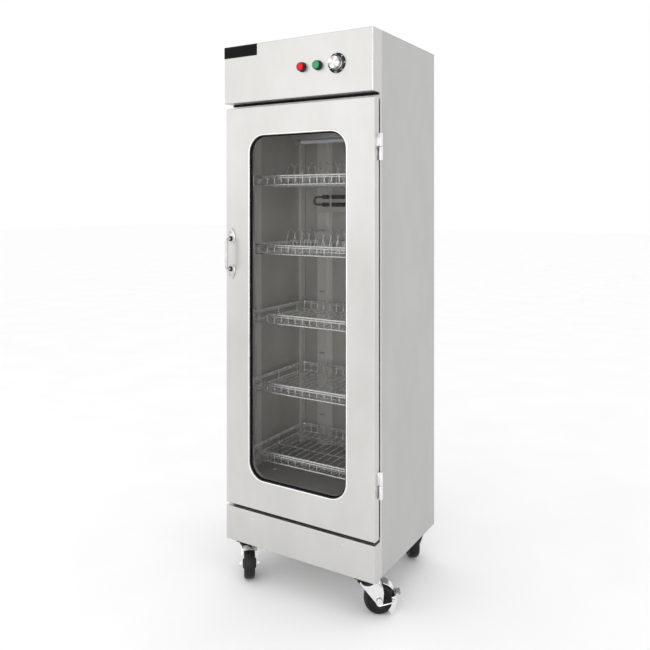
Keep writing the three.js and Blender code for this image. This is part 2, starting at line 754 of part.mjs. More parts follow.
// the foot pedal turns on the axle, outside the fork, and its band wraps round the wheel's trailing side
function brakePedal() {
  const inside = 36.5;
  const outside = 39.5;
  const bandInner = WHEEL_RADIUS + 4;
  const bandOuter = bandInner + 3;
  const from = THREE.MathUtils.degToRad(-46);
  const to = THREE.MathUtils.degToRad(19);

  const side = new THREE.Shape();
  side.absarc(0, 0, bandOuter, from, to, false);
  side.lineTo(10 * Math.cos(2), 10 * Math.sin(2));
  side.absarc(0, 0, 12, 2, Math.PI + 1.3, false);
  side.closePath();
  const eye = rodY(6.5, -outside - 1, outside + 1, 0, 0, 16);

  const band = new THREE.Shape();
  band.absarc(0, 0, bandOuter, from, to, false);
  band.absarc(0, 0, bandInner, to, from, true);
  band.closePath();

  const tab = box(bandInner - 4, 71, -18, 18, 14, 17);
  const pad = box(53, 70, -15, 15, 16, 23);
  return cut(
    join(
      slabXZ(side, -outside, -inside, 6),
      slabXZ(side, inside, outside, 6),
      slabXZ(band, -outside, outside, 6),
      tab,
      pad,
    ),
    eye,
  );
}

// ---------------------------------------------------------------- assembly
casing();
faceFrame();
frontPanels();
chamber();
sideUprights();
backChannels();
baskets();
uvLamp();
heater();
button('red', RED_X, RED_PLASTIC);
button('green', GREEN_X, GREEN_PLASTIC);
thermostat();
door();
handle();
hinge('top');
hinge('bottom');
CASTERS.forEach(caster);

group.updateMatrixWorld(true);
const middle = new THREE.Box3().setFromObject(group, true).getCenter(new THREE.Vector3());
group.position.set(-middle.x, -middle.y, 0);

export default group;
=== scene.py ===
import json
import math

import bmesh
import bpy
from mathutils import Matrix, Vector


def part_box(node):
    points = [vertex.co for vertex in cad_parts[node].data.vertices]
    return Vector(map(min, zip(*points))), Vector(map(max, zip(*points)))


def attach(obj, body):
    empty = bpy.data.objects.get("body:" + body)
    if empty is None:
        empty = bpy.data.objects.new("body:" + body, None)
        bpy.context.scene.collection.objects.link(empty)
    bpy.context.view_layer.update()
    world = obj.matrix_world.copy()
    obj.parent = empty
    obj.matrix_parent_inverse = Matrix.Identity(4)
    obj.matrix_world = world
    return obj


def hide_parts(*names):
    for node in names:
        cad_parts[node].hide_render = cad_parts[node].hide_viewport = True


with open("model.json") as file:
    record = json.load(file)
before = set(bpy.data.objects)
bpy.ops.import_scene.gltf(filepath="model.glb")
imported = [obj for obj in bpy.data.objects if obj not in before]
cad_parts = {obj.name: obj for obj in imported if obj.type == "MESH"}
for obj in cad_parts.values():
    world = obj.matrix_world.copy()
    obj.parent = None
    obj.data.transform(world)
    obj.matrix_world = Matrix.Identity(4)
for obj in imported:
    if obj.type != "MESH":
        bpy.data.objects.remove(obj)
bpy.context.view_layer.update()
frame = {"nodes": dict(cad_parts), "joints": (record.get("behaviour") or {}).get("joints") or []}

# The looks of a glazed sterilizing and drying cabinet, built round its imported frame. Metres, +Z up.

NODES = frame["nodes"]
JOINTS = {joint["name"]: joint for joint in frame["joints"]}

# ---- places worked out from the frame
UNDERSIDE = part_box("base_pan")[0].z
DOOR_LOW, DOOR_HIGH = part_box("door_outer")
FRONT = DOOR_LOW.y
HALF = DOOR_HIGH.x
HEADER_LOW, HEADER_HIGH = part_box("header_panel")
PLINTH_LOW, PLINTH_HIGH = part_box("plinth_panel")
SHEET = 0.0012

WINDOW_CORNER = 0.06
GLASS_INSET = 0.0015
GLASS_LOW, GLASS_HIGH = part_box("window_glass")
WINDOW_HALF = GLASS_HIGH.x + GLASS_INSET
WINDOW_BOTTOM = GLASS_LOW.z - GLASS_INSET
WINDOW_TOP = GLASS_HIGH.z + GLASS_INSET


# ---- material nodes
def new_material(name, **sockets):
    material = bpy.data.materials.new(name)
    material.use_nodes = True
    shader = material.node_tree.nodes["Principled BSDF"]
    for socket, value in sockets.items():
        shader.inputs[socket.replace("_", " ")].default_value = value
    return material, shader


def node(material, kind, **inputs):
    made = material.node_tree.nodes.new(kind)
    for key, value in inputs.items():
        made.inputs[key.replace("_", " ")].default_value = value
    return made


def link(material, source, target):
    material.node_tree.links.new(source, target)


def noise(material, scale, stretch=(1, 1, 1), detail=3.0, rough=0.5):
    """A noise in the piece's own space, stretched along its grain."""
    place = node(material, "ShaderNodeTexCoord")
    mapping = node(material, "ShaderNodeMapping", Scale=stretch)
    pattern = node(material, "ShaderNodeTexNoise", Scale=scale, Detail=detail, Roughness=rough)
    link(material, place.outputs["Object"], mapping.inputs["Vector"])
    link(material, mapping.outputs["Vector"], pattern.inputs["Vector"])
    return pattern.outputs["Fac"]


def ranged(material, source, low, high, start=0.3, end=0.7):
    change = node(material, "ShaderNodeMapRange")
    change.inputs["From Min"].default_value = start
    change.inputs["From Max"].default_value = end
    change.inputs["To Min"].default_value = low
    change.inputs["To Max"].default_value = high
    link(material, source, change.inputs["Value"])
    return change.outputs["Result"]


def tinted(material, shader, source, first, second, start=0.35, end=0.65):
    """Colour that wanders between two tones."""
    ramp = node(material, "ShaderNodeValToRGB")
    ramp.color_ramp.elements[0].position = start
    ramp.color_ramp.elements[0].color = (*first, 1)
    ramp.color_ramp.elements[1].position = end
    ramp.color_ramp.elements[1].color = (*second, 1)
    link(material, source, ramp.inputs["Fac"])
    link(material, ramp.outputs["Color"], shader.inputs["Base Color"])


def roughened(material, shader, source, low, high, *span):
    """Gloss that wanders between two roughnesses."""
    link(material, ranged(material, source, low, high, *span), shader.inputs["Roughness"])


def maths(material, operation, *values):
    """A math node's result, where each value is a number or another node's output."""
    made = node(material, "ShaderNodeMath")
    made.operation = operation
    for socket, value in zip(made.inputs, values):
        if isinstance(value, float):
            socket.default_value = value
        else:
            link(material, value, socket)
    return made.outputs[0]


def bumped(material, shader, source, strength, distance):
    bump = node(material, "ShaderNodeBump", Strength=strength, Distance=distance)
    link(material, source, bump.inputs["Height"])
    link(material, bump.outputs["Normal"], shader.inputs["Normal"])


def brushed_steel(name, light, dark, rough, grain=(1, 1, 0.012), metallic=0.9):
    """Sheet steel with a fine grain along one direction and faint handling marks."""
    material, shader = new_material(name, Metallic=metallic)
    lines = noise(material, 900, grain, detail=2.0)
    smudge = noise(material, 5.0, (1, 1, 0.5), detail=5.0, rough=0.6)
    tinted(material, shader, smudge, dark, light)
    both = maths(material, "MULTIPLY_ADD", smudge, 0.35, lines)
    roughened(material, shader, both, rough - 0.07, rough + 0.09, 0.4, 0.95)
    bumped(material, shader, lines, 0.12, 0.0002)
    return material


def bright_plate(name, light, dark, rough, metallic=1.0, dents=0.05):
    """Chrome plate or polished stainless with a few scuffs."""
    material, shader = new_material(name, Metallic=metallic)
    scuff = noise(material, 60, (1, 1, 1), detail=6.0, rough=0.65)
    tinted(material, shader, scuff, dark, light)
    roughened(material, shader, scuff, rough, rough + 0.16)
    bumped(material, shader, noise(material, 350, detail=3.0), dents, 0.0001)
    return material


def moulded(name, light, dark, rough, grain_scale=900, strength=0.25, **sockets):
    """Moulded plastic or rubber with a fine skin texture and dusty variation."""
    material, shader = new_material(name, **sockets)
    dust = noise(material, 14, detail=5.0, rough=0.6)
    tinted(material, shader, dust, dark, light)
    roughened(material, shader, dust, rough - 0.06, rough + 0.1)
    bumped(material, shader, noise(material, grain_scale, detail=2.0), strength, 0.0003)
    return material


def glass_pane(name, tint, see_through):
    """Tinted glass as a thin film: mostly clear, with its gloss and faint wipe marks."""
    material, shader = new_material(name, Alpha=see_through, IOR=1.5, Specular_IOR_Level=0.3)
    wipe = noise(material, 9, (1, 1, 0.4), detail=4.0)
    tinted(material, shader, wipe, tuple(0.8 * c for c in tint), tint)
    roughened(material, shader, wipe, 0.03, 0.07)
    return material


def spun_metal_painted_highlights(name, centre, light, dark):
    """Metal faced on a lathe, with painted highlights: bright and dark fans round its centre painted into
    its colour.
    """
    material, shader = new_material(name, Metallic=1.0)
    place = node(material, "ShaderNodeTexCoord")
    shift = node(material, "ShaderNodeMapping", Location=(-centre.x, 0, -centre.z))
    split = node(material, "ShaderNodeSeparateXYZ")
    link(material, place.outputs["Object"], shift.inputs["Vector"])
    link(material, shift.outputs["Vector"], split.inputs["Vector"])
    angle = maths(material, "ARCTAN2", split.outputs["X"], split.outputs["Z"])
    # Four bright and four dark fans round the centre: painted highlight and painted shade for the
    # lathe-turned face's reflections.
    painted_highlight_fans = maths(material, "SINE", maths(material, "MULTIPLY", angle, 4.0))
    tinted(material, shader, ranged(material, painted_highlight_fans, 0, 1, -1, 1), dark, light, 0.1, 0.8)
    rings = noise(material, 1400, (1, 0.1, 1), detail=2.0)
    roughened(material, shader, rings, 0.18, 0.34)
    bumped(material, shader, rings, 0.1, 0.0002)
    return material


def grey(value, warmth=0.0):
    return (value, value * (1 - 0.3 * warmth), value * (1 - warmth))


ALONG_X = (0.012, 1, 1)
GLOSSY = {"strength": 0.1, "Specular_IOR_Level": 0.25}
# FRONT_STEEL and the side copy below are one brushed steel; the side copy's darker colour is painted shade
# for the side, back, roof and base panels that the lamps light less.
FRONT_STEEL = brushed_steel("front_steel", grey(0.645, 0.03), grey(0.59, 0.045), 0.36)
SIDE_STEEL_PAINTED_SHADE = brushed_steel("side_steel", grey(0.53, 0.012), grey(0.485, 0.02), 0.38)
LINER_STEEL = brushed_steel("liner_steel", grey(0.66, 0.08), grey(0.54, 0.09), 0.42, metallic=0.5)
FLOOR_STEEL = brushed_steel("chamber_floor_steel", grey(0.4, 0.06), grey(0.33, 0.07), 0.45, ALONG_X, 0.5)
RAIL_STEEL = brushed_steel("rail_steel", grey(0.88, 0.05), grey(0.8, 0.06), 0.36, metallic=0.5)
# Bright steel for the dial rim, lamp caps and floor fitting; on the window's rolled rim its brightness is
# partly painted highlight, and on the header's fold strips it is painted highlight.
POLISHED_STEEL_AND_HIGHLIGHT = bright_plate("polished_edge", grey(0.92), grey(0.84, 0.02), 0.16)
CHROME = bright_plate("chrome", grey(0.9), grey(0.8), 0.08)
HANDLE_CHROME = bright_plate("handle_chrome", grey(0.74, 0.03), grey(0.52, 0.04), 0.12)
WIRE = bright_plate("chromed_wire", grey(0.98), grey(0.94), 0.2, 0.85, 0.0)
HEATER_METAL = bright_plate("heat_darkened_metal", grey(0.26, 0.05), grey(0.12, 0.08), 0.34)
GASKET = moulded("gasket_rubber", grey(0.008), grey(0.004), 0.6, Specular_IOR_Level=0.15)
TYRE = moulded("tyre_rubber", grey(0.012, 0.05), grey(0.005), 0.38, Specular_IOR_Level=0.3)
HUB = moulded("hub_plastic", grey(0.01), grey(0.005), 0.34, Specular_IOR_Level=0.3)
BLACK = moulded("black_plastic", grey(0.008), grey(0.004), 0.3, Specular_IOR_Level=0.3)
PAD = moulded("pedal_pad_rubber", grey(0.11, 0.05), grey(0.06, 0.05), 0.6)
BLUE = moulded("blue_plastic", (0.05, 0.18, 0.5), (0.03, 0.11, 0.36), 0.35)
RED = moulded("red_plastic", (0.72, 0.012, 0.018), (0.58, 0.008, 0.012), 0.28, **GLOSSY)
GREEN = moulded("green_plastic", (0.05, 0.36, 0.15), (0.03, 0.27, 0.1), 0.28, **GLOSSY)
PLATE_BLACK = moulded("name_plate_black", grey(0.008), grey(0.004), 0.22, strength=0.06,
                      Specular_IOR_Level=0.08)
PRINT = moulded("dial_print", grey(0.85), grey(0.75), 0.5)
PANE = glass_pane("tinted_glass", grey(0.035, 0.06), 0.16)
TUBE_GLASS = moulded("lamp_glass", (0.8, 0.84, 0.9), (0.72, 0.76, 0.84), 0.12, strength=0.03)


# ---- mesh helpers
def in_scene(name, data):
    """A new object for the data, linked into the scene."""
    made = bpy.data.objects.new(name, data)
    bpy.context.scene.collection.objects.link(made)
    return made


def place_piece(name, bm, material, body, stands_for=(), turn=35, extra=()):
    """Turns built faces into a named piece that rides on a body."""
    bmesh.ops.remove_doubles(bm, verts=bm.verts, dist=2e-6)
    bmesh.ops.dissolve_degenerate(bm, edges=bm.edges, dist=1e-6)
    bmesh.ops.recalc_face_normals(bm, faces=bm.faces)
    mesh = bpy.data.meshes.new(name)
    bm.to_mesh(mesh)
    bm.free()
    for one in (material, *extra):
        mesh.materials.append(one)
    mesh.shade_smooth()
    mesh.set_sharp_from_angle(angle=math.radians(turn))
    piece = in_scene(name, mesh)
    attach(piece, body)
    if stands_for:
        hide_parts(*stands_for)
    return piece


def flat_faced(piece):
    """Keeps a sheet's big flat faces evenly lit beside its rounded folds."""
    weighted = piece.modifiers.new("flat_faces", "WEIGHTED_NORMAL")
    weighted.keep_sharp = True


def loft(bm, rings, wrap=False, caps=False, material=0):
    """Faces between successive rings of points, each ring closed on itself."""
    made = [[bm.verts.new(point) for point in ring] for ring in rings]
    faces = []
    pairs = list(zip(made, made[1:]))
    if wrap:
        pairs.append((made[-1], made[0]))
    for ring, following in pairs:
        count = len(ring)
        for i in range(count):
            j = (i + 1) % count
            faces.append(bm.faces.new((ring[i], ring[j], following[j], following[i])))
    if caps:
        faces.append(bm.faces.new(made[0]))
        faces.append(bm.faces.new(list(reversed(made[-1]))))
    for face in faces:
        face.material_index = material


def rounded_rectangle(x0, x1, z0, z1, radius, steps=12):
    corners = ((x1 - radius, z0 + radius), (x1 - radius, z1 - radius), (x0 + radius, z1 - radius),
               (x0 + radius, z0 + radius))
    outline = []
    for quarter, (x, z) in enumerate(corners):
        for i in range(steps + 1):
            angle = math.radians(90 * quarter - 90 + 90 * i / steps)
            outline.append((x + radius * math.cos(angle), z + radius * math.sin(angle)))
    return outline


def in_xz(outline, y):
    return [Vector((x, y, z)) for x, z in outline]


def in_xy(outline, z):
    return [Vector((x, y, z)) for x, y in outline]


def panel_ring(low, high, inset, y, radius=0.0001):
    """A panel's outline drawn in by inset, with corners that are all but square."""
    x0, x1, z0, z1 = low.x + inset, high.x - inset, low.z + inset, high.z - inset
    return in_xz(rounded_rectangle(x0, x1, z0, z1, radius, 1), y)


def quarter_fold(fold, steps=5):
    """(inset, depth) pairs round a folded edge, from the front face to the side."""
    turns = [math.radians(90 * i / steps) for i in range(1, steps + 1)]
    return [(fold * (1 - math.sin(a)), fold * (1 - math.cos(a))) for a in turns]


def about_y(profile, centre=(0, 0, 0), sides=44):
    """Rings about an axle along Y: profile holds (radius, y)."""
    turns = [2 * math.pi * k / sides for k in range(sides)]
    return [[Vector((centre[0] + radius * math.cos(a), y, centre[2] + radius * math.sin(a))) for a in turns]
            for radius, y in profile]


def across_from(axis):
    """A direction square to the given one."""
    helper = Vector((0, 0, 1)) if abs(axis.z) < 0.9 else Vector((1, 0, 0))
    return axis.cross(helper).normalized()


def tube(bm, points, radius, sides=8, closed=False, material=0):
    """A round wire along a line of points."""
    points = [Vector(p) for p in points]
    count = len(points)
    normal = None
    rings = []
    for i, point in enumerate(points):
        before = points[i - 1] if i or closed else point
        after = points[(i + 1) % count] if i < count - 1 or closed else point
        along = (after - before).normalized()
        if normal is None:
            normal = across_from(along)
        normal = (normal - along * normal.dot(along)).normalized()
        side = along.cross(normal)
        turns = [2 * math.pi * k / sides for k in range(sides)]
        rings.append([point + radius * (math.cos(a) * normal + math.sin(a) * side) for a in turns])
    loft(bm, rings, wrap=closed, caps=not closed, material=material)


def rounded_path(points, radius, steps=5):
    """A line through points, with its inner corners rounded."""
    points = [Vector(p) for p in points]
    path = [points[0]]
    for before, corner, after in zip(points, points[1:], points[2:]):
        back = before - corner
        ahead = after - corner
        reach = min(radius, back.length / 2.02, ahead.length / 2.02)
        start = corner + back.normalized() * reach
        end = corner + ahead.normalized() * reach
        for i in range(steps + 1):
            t = i / steps
            path.append(start.lerp(corner, t).lerp(corner.lerp(end, t), t))
    path.append(points[-1])
    return path


def lathe(bm, profile, origin, axis, sides=40, material=0):
    """A turned shape: profile holds (radius, distance along the axis)."""
    axis = Vector(axis).normalized()
    first = across_from(axis)
    second = axis.cross(first)
    rings = []
    for radius, along in profile:
        ring = []
        for k in range(sides):
            angle = 2 * math.pi * k / sides
            out = math.cos(angle) * first + math.sin(angle) * second
            ring.append(Vector(origin) + axis * along + out * max(radius, 1e-5))
        rings.append(ring)
    loft(bm, rings, caps=True, material=material)


def block(bm, low, high, edge=0.0006, material=0, segments=2):
    """A box with softened edges."""
    low, high = Vector(low), Vector(high)
    middle, size = (low + high) / 2, high - low
    placed = Matrix.Translation(middle) @ Matrix.Diagonal((*size, 1))
    made = bmesh.ops.create_cube(bm, size=1.0, matrix=placed)
    edges = list(dict.fromkeys(e for v in made["verts"] for e in v.link_edges))
    faces = {f for v in made["verts"] for f in v.link_faces}
    if edge:
        done = bmesh.ops.bevel(bm, geom=edges, offset=edge, segments=segments, profile=0.5, affect="EDGES")
        faces = {f for f in faces if f.is_valid} | set(done["faces"])
    for face in faces:
        face.material_index = material


def screw_head(bm, centre, axis, radius=0.004, rise=0.0018, material=0):
    """A pan head with a cross recess."""
    axis = Vector(axis).normalized()
    profile = [(0, -0.0002), (radius, -0.0002), (radius, rise * 0.35), (radius * 0.82, rise * 0.8),
               (radius * 0.45, rise), (0, rise)]
    lathe(bm, profile, centre, axis, 20, material)
    across = across_from(axis)
    other = axis.cross(across)
    for one, two in ((across, other), (other, across)):
        middle = Vector(centre) + axis * rise
        corners = [middle + one * (radius * 0.5 * a) + two * (radius * 0.1 * b) for a, b in
                   ((-1, -1), (1, -1), (1, 1), (-1, 1))]
        loft(bm, [[c + axis * 0.00008 for c in corners], [c - axis * 0.0004 for c in corners]], caps=True,
             material=1)


def soften(name, width=0.0006):
    """Rounds a CAD piece's edges with modifiers, leaving its mesh as it is."""
    piece = NODES[name]
    weld = piece.modifiers.new("weld", "WELD")
    weld.merge_threshold = 1e-5
    bevel = piece.modifiers.new("bevel", "BEVEL")
    bevel.width = width
    bevel.segments = 2
    bevel.limit_method = "ANGLE"
    bevel.angle_limit = math.radians(40)
    bevel.harden_normals = False


def paint(material, *names):
    for name in names:
        NODES[name].data.materials.clear()
        NODES[name].data.materials.append(material)


# ---- front panels
def folded_tray(name, low, high, body, fold=0.0025):
    """Sheet folded into an open-backed tray: a face, rounded folds and four returns."""
    section = [(fold, low.y)]
    section += [(inset, low.y + depth) for inset, depth in quarter_fold(fold)]
    section += [(0, high.y), (SHEET, high.y), (SHEET, low.y + SHEET)]
    bm = bmesh.new()
    loft(bm, [panel_ring(low, high, inset, y) for inset, y in section], caps=True)
    flat_faced(place_piece(name, bm, FRONT_STEEL, body, (name.replace("_skin", ""),)))


def header():
    folded_tray("header_panel_skin", HEADER_LOW, HEADER_HIGH, "cabinet")
    # Thin rods of the bright steel along the header's two vertical folds: painted highlight on the fold
    # edges.
    bm = bmesh.new()
    fold = 0.0016
    for side in (-1, 1):
        x, y = side * (HALF - fold), HEADER_LOW.y + fold
        tube(bm, [(x, y, HEADER_LOW.z + 0.002), (x, y, HEADER_HIGH.z - 0.002)], 0.0019, 10)
    place_piece("header_polished_folds", bm, POLISHED_STEEL_AND_HIGHLIGHT, "cabinet")


def plinth():
    folded_tray("plinth_panel_skin", PLINTH_LOW, PLINTH_HIGH, "cabinet")
    bm = bmesh.new()
    for x in (-0.18, 0.0, 0.18):
        screw_head(bm, (x, PLINTH_LOW.y, PLINTH_LOW.z + 0.095), (0, -1, 0), 0.0026, 0.001)
    place_piece("plinth_screws", bm, CHROME, "cabinet", extra=(BLACK,))
    bm = bmesh.new()
    wide, foot, face = 0.01, PLINTH_LOW.z, PLINTH_LOW.y
    for x in (-0.245, 0.235):
        block(bm, (x - wide, face + 0.0005, foot - 0.0022), (x + wide, face + 0.012, foot + 0.0003), 0.0004)
    place_piece("plinth_lips", bm, HUB, "cabinet")


def name_plate():
    """A blank black plate in the header's top corner."""
    bm = bmesh.new()
    low = (-HALF + 0.0012, HEADER_LOW.y - 0.0009, HEADER_HIGH.z - 0.042)
    high = (-HALF + 0.146, HEADER_LOW.y + 0.0002, HEADER_HIGH.z - 0.0016)
    block(bm, low, high, 0.0004)
    place_piece("name_plate", bm, PLATE_BLACK, "cabinet")
    bm = bmesh.new()
    inset, wide = 0.0035, 0.0006
    x0, x1, z0, z1 = low[0] + inset, high[0] - inset, low[2] + inset, high[2] - inset
    y = low[1]
    outer = in_xz(rounded_rectangle(x0, x1, z0, z1, 0.003, 6), y - 0.0001)
    inner = in_xz(rounded_rectangle(x0 + wide, x1 - wide, z0 + wide, z1 - wide, 0.003 - wide, 6), y - 0.0001)
    back_inner = [p + Vector((0, 0.0003, 0)) for p in inner]
    back_outer = [p + Vector((0, 0.0003, 0)) for p in outer]
    loft(bm, [outer, inner, back_inner, back_outer], wrap=True)
    place_piece("name_plate_line", bm, HUB, "cabinet")


def gap_painted_shade_strips():
    """Black strips on the face frame, behind the gaps above and below the door: painted shade for the shadow
    down in those gaps.
    """
    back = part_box("face_frame")[0].y - 0.0004
    for name, low_z, high_z in (("sill_strip", PLINTH_HIGH.z + 0.0006, DOOR_LOW.z + 0.008),
                                ("head_strip", HEADER_LOW.z - 0.0062, HEADER_LOW.z - 0.0006)):
        bm = bmesh.new()
        block(bm, (-HALF + 0.006, back - 0.007, low_z), (HALF - 0.006, back, high_z), 0.0008)
        # In the gasket's black rubber material, but no rubber part: painted shade in the gap.
        place_piece(name, bm, GASKET, "cabinet")


# ---- door
def window_ring(offset, y, steps=14):
    return in_xz(rounded_rectangle(-WINDOW_HALF - offset, WINDOW_HALF + offset, WINDOW_BOTTOM - offset,
                                   WINDOW_TOP + offset, WINDOW_CORNER + offset, steps), y)


def door_ring(inset, y, steps=14):
    bottom, top = DOOR_LOW.z + inset, DOOR_HIGH.z - inset
    return in_xz(rounded_rectangle(-HALF + inset, HALF - inset, bottom, top, 0.00012, steps), y)


def door():
    """The front sheet round the window, its rolled rim, the back sheet, the gasket and the pane."""
    fold = 0.0028
    bm = bmesh.new()
    rings = [window_ring(0.0058, FRONT), door_ring(fold, FRONT)]
    rings += [door_ring(inset, FRONT + depth) for inset, depth in quarter_fold(fold)]
    back = DOOR_HIGH.y
    rings += [door_ring(0, back), door_ring(SHEET, back), door_ring(SHEET, FRONT + SHEET),
              window_ring(0.0058, FRONT + SHEET)]
    loft(bm, rings, wrap=True)
    flat_faced(place_piece("door_skin", bm, FRONT_STEEL, "door", ("door_outer",), 40))

    # The rolled rim round the window: its roll is real, its brightness above the door sheet's is partly
    # painted highlight.
    bm = bmesh.new()
    rim = [(0.006, 0.0002)]
    for i in range(9):
        angle = math.radians(180 * i / 8)
        rim.append((0.003 + 0.0028 * math.cos(angle), -0.002 * math.sin(angle)))
    rim += [(0.0001, 0.001), (0.0001, 0.0027), (0.0012, 0.0027), (0.0016, 0.0018), (0.006, 0.0016)]
    loft(bm, [window_ring(offset, FRONT + y) for offset, y in rim], wrap=True)
    place_piece("window_rim", bm, POLISHED_STEEL_AND_HIGHLIGHT, "door", turn=50)

    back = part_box("door_inner")[1].y
    sleeve = [(0.0, FRONT + 0.003), (0.0, back - 0.002), (0.0006, back - 0.0006), (0.002, back)]
    rings = [window_ring(offset, y) for offset, y in sleeve]
    rings += [door_ring(0.0006, back), door_ring(0.0001, back - 0.0005), door_ring(0.0001, back - SHEET)]
    rings += [window_ring(SHEET, back - SHEET), window_ring(SHEET, FRONT + 0.003)]
    bm = bmesh.new()
    loft(bm, rings, wrap=True)
    flat_faced(place_piece("door_back_skin", bm, FRONT_STEEL, "door", ("door_inner",), 40))

    gasket_profile = [(-0.0003, 3.6), (-0.001, 3.0), (-0.0032, 3.2), (-0.004, 4.2), (-0.004, 5.8),
                      (-0.0012, 5.8), (-0.0012, 10.2), (-0.004, 10.2), (-0.004, 13.8), (-0.0032, 14.8),
                      (-0.001, 15.0), (-0.0003, 14.4)]
    bm = bmesh.new()
    loft(bm, [window_ring(offset, FRONT + depth / 1000) for offset, depth in gasket_profile], wrap=True)
    place_piece("glazing_gasket", bm, GASKET, "door", ("window_gasket",), 50)

    bm = bmesh.new()
    pane = [(-0.0021, 6.0), (-0.0016, 6.4), (-0.0016, 9.6), (-0.0021, 10.0)]
    loft(bm, [window_ring(offset, FRONT + depth / 1000) for offset, depth in pane], caps=True)
    place_piece("glass_pane", bm, PANE, "door", ("window_glass",))


def door_seal():
    """A hollow-looking bulb seal round the back of the door."""
    low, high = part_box("door_seal")
    middle = (low.y + high.y) / 2
    bm = bmesh.new()
    ribs = [(0.001, 0.0), (0.000, 0.4), (0.002, 0.85), (0.006, 1.0), (0.009, 0.55), (0.012, 1.0),
            (0.0155, 0.85), (0.017, 0.4), (0.017, -0.4), (0.015, -0.95), (0.002, -0.95), (0.0, -0.4)]
    reach = (high.y - low.y) / 2
    rings = [panel_ring(low, high, inset, middle + reach * depth, 0.0002) for inset, depth in ribs]
    loft(bm, rings, wrap=True)
    place_piece("bulb_seal", bm, GASKET, "door", ("door_seal",), 50)


def handle():
    """A bowed bar on two oval feet, with a dark collar and a screw at each."""
    low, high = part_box("handle")
    x = (low.x + high.x) / 2
    z = (low.z + high.z) / 2
    span, radius, front = 0.054, 0.0052, low.y + 0.0052
    bm = bmesh.new()
    root = FRONT - 0.002
    corners = [(x, root, z - span), (x, front, z - span), (x, front, z + span), (x, root, z + span)]
    tube(bm, rounded_path(corners, 0.019, 10), radius, 20)
    for side in (-1, 1):
        foot = z + side * (span + 0.01)
        outline = []
        for i in range(48):
            angle = 2 * math.pi * i / 48
            wide = 0.0155 - 0.003 * side * math.sin(angle)
            outline.append((x + wide * math.cos(angle), foot + 0.0265 * math.sin(angle)))
        domed = [(0.97, 0.0003), (1.0, 0.0012), (0.96, 0.003), (0.84, 0.0044), (0.5, 0.0052)]
        rings = [[Vector((x + (px - x) * share, FRONT - rise, foot + (pz - foot) * share))
                  for px, pz in outline] for share, rise in domed]
        loft(bm, rings, caps=True)
        lathe(bm, [(0, 0), (0.0105, 0), (0.0098, 0.0052), (0.0072, 0.0085), (0.0053, 0.0098), (0, 0.0098)],
              (x, FRONT - 0.0005, z + side * span), (0, -1, 0), 28)
        screw_head(bm, (x, FRONT - 0.0049, z + side * (span + 0.022)), (0, -1, 0), 0.0042, 0.0014)
        lathe(bm, [(0.005, 0), (0.0092, 0), (0.0092, 0.0016), (0.0078, 0.003), (0.005, 0.003)],
              (x, FRONT - 0.0078, z + side * span), (0, -1, 0), 28, material=1)
    place_piece("pull_handle", bm, HANDLE_CHROME, "door", ("handle",), 40, extra=(BLACK,))


def hinges():
    """Lift-off hinges: a pin leaf on the frame and a cap leaf on the door."""
    for place in ("top", "bottom"):
        low_leaf, high_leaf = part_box(f"hinge_{place}_frame_leaf"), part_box(f"hinge_{place}_door_leaf")
        x = high_leaf[1].x - 0.007
        y = JOINTS["door_hinge"]["pos_m"][1]
        split = high_leaf[0].z
        for half, leaf, body, strap in (("pin", low_leaf, "cabinet", 1), ("cap", high_leaf, "door", -1)):
            bottom = leaf[0].z
            top = split - 0.0006 if half == "pin" else leaf[1].z
            bm = bmesh.new()
            length = top - bottom
            ends = [(0, 0), (0.0058, 0), (0.0066, 0.0004), (0.007, 0.0012)]
            barrel = ends + [(radius, length - along) for radius, along in reversed(ends)]
            lathe(bm, barrel, (x, y, bottom), (0, 0, 1), 28)
            reach = leaf[1].y - y if strap == 1 else y - leaf[0].y
            y0, y1 = (y, y + reach) if strap == 1 else (y - reach, y)
            block(bm, (leaf[0].x, y0, bottom + 0.0006), (leaf[0].x + 0.0028, y1, top - 0.0006), 0.0007)
            place_piece(f"hinge_{place}_{half}_barrel", bm, CHROME, body,
                        (f"hinge_{place}_{'frame' if half == 'pin' else 'door'}_leaf",))


# ---- controls
def push_button(colour, material):
    low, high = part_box(f"{colour}_button")
    base_low, base_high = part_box(f"{colour}_button_base")
    x, z = (low.x + high.x) / 2, (low.z + high.z) / 2
    front = low.y
    face = HEADER_LOW.y
    bm = bmesh.new()
    depth = face - base_low.y
    collar = [(0.0133, 0.003), (0.0133, depth - 0.0006), (0.0139, depth), (0.0147, depth - 0.0008),
              (0.015, depth - 0.003), (0.015, 0.0032), (0.0166, 0.0026), (0.0166, 0.0004), (0.0133, 0.0004)]
    loft(bm, about_y([(radius, face - out) for radius, out in collar], (x, 0, z)), wrap=True)
    block(bm, (x - 0.014, face + 0.002, z - 0.014), (x + 0.014, base_high.y, z + 0.014), 0.0008)
    button = f"{colour}_button"
    place_piece(f"{button}_collar", bm, BLACK, "cabinet", (f"{button}_base",), 45)
    bm = bmesh.new()
    deep = 0.011
    cap = [(0, deep), (0.011, deep), (0.0128, deep - 0.001), (0.0128, 0.0016), (0.0121, 0.0004),
           (0.0112, 0.0), (0.0098, 0.0001), (0.0092, 0.0009), (0.007, 0.0007), (0.0035, 0.0003), (0, 0.0002)]
    lathe(bm, cap, (x, front, z), (0, 1, 0), 44)
    place_piece(f"{button}_cap", bm, material, button, (button,), 45)


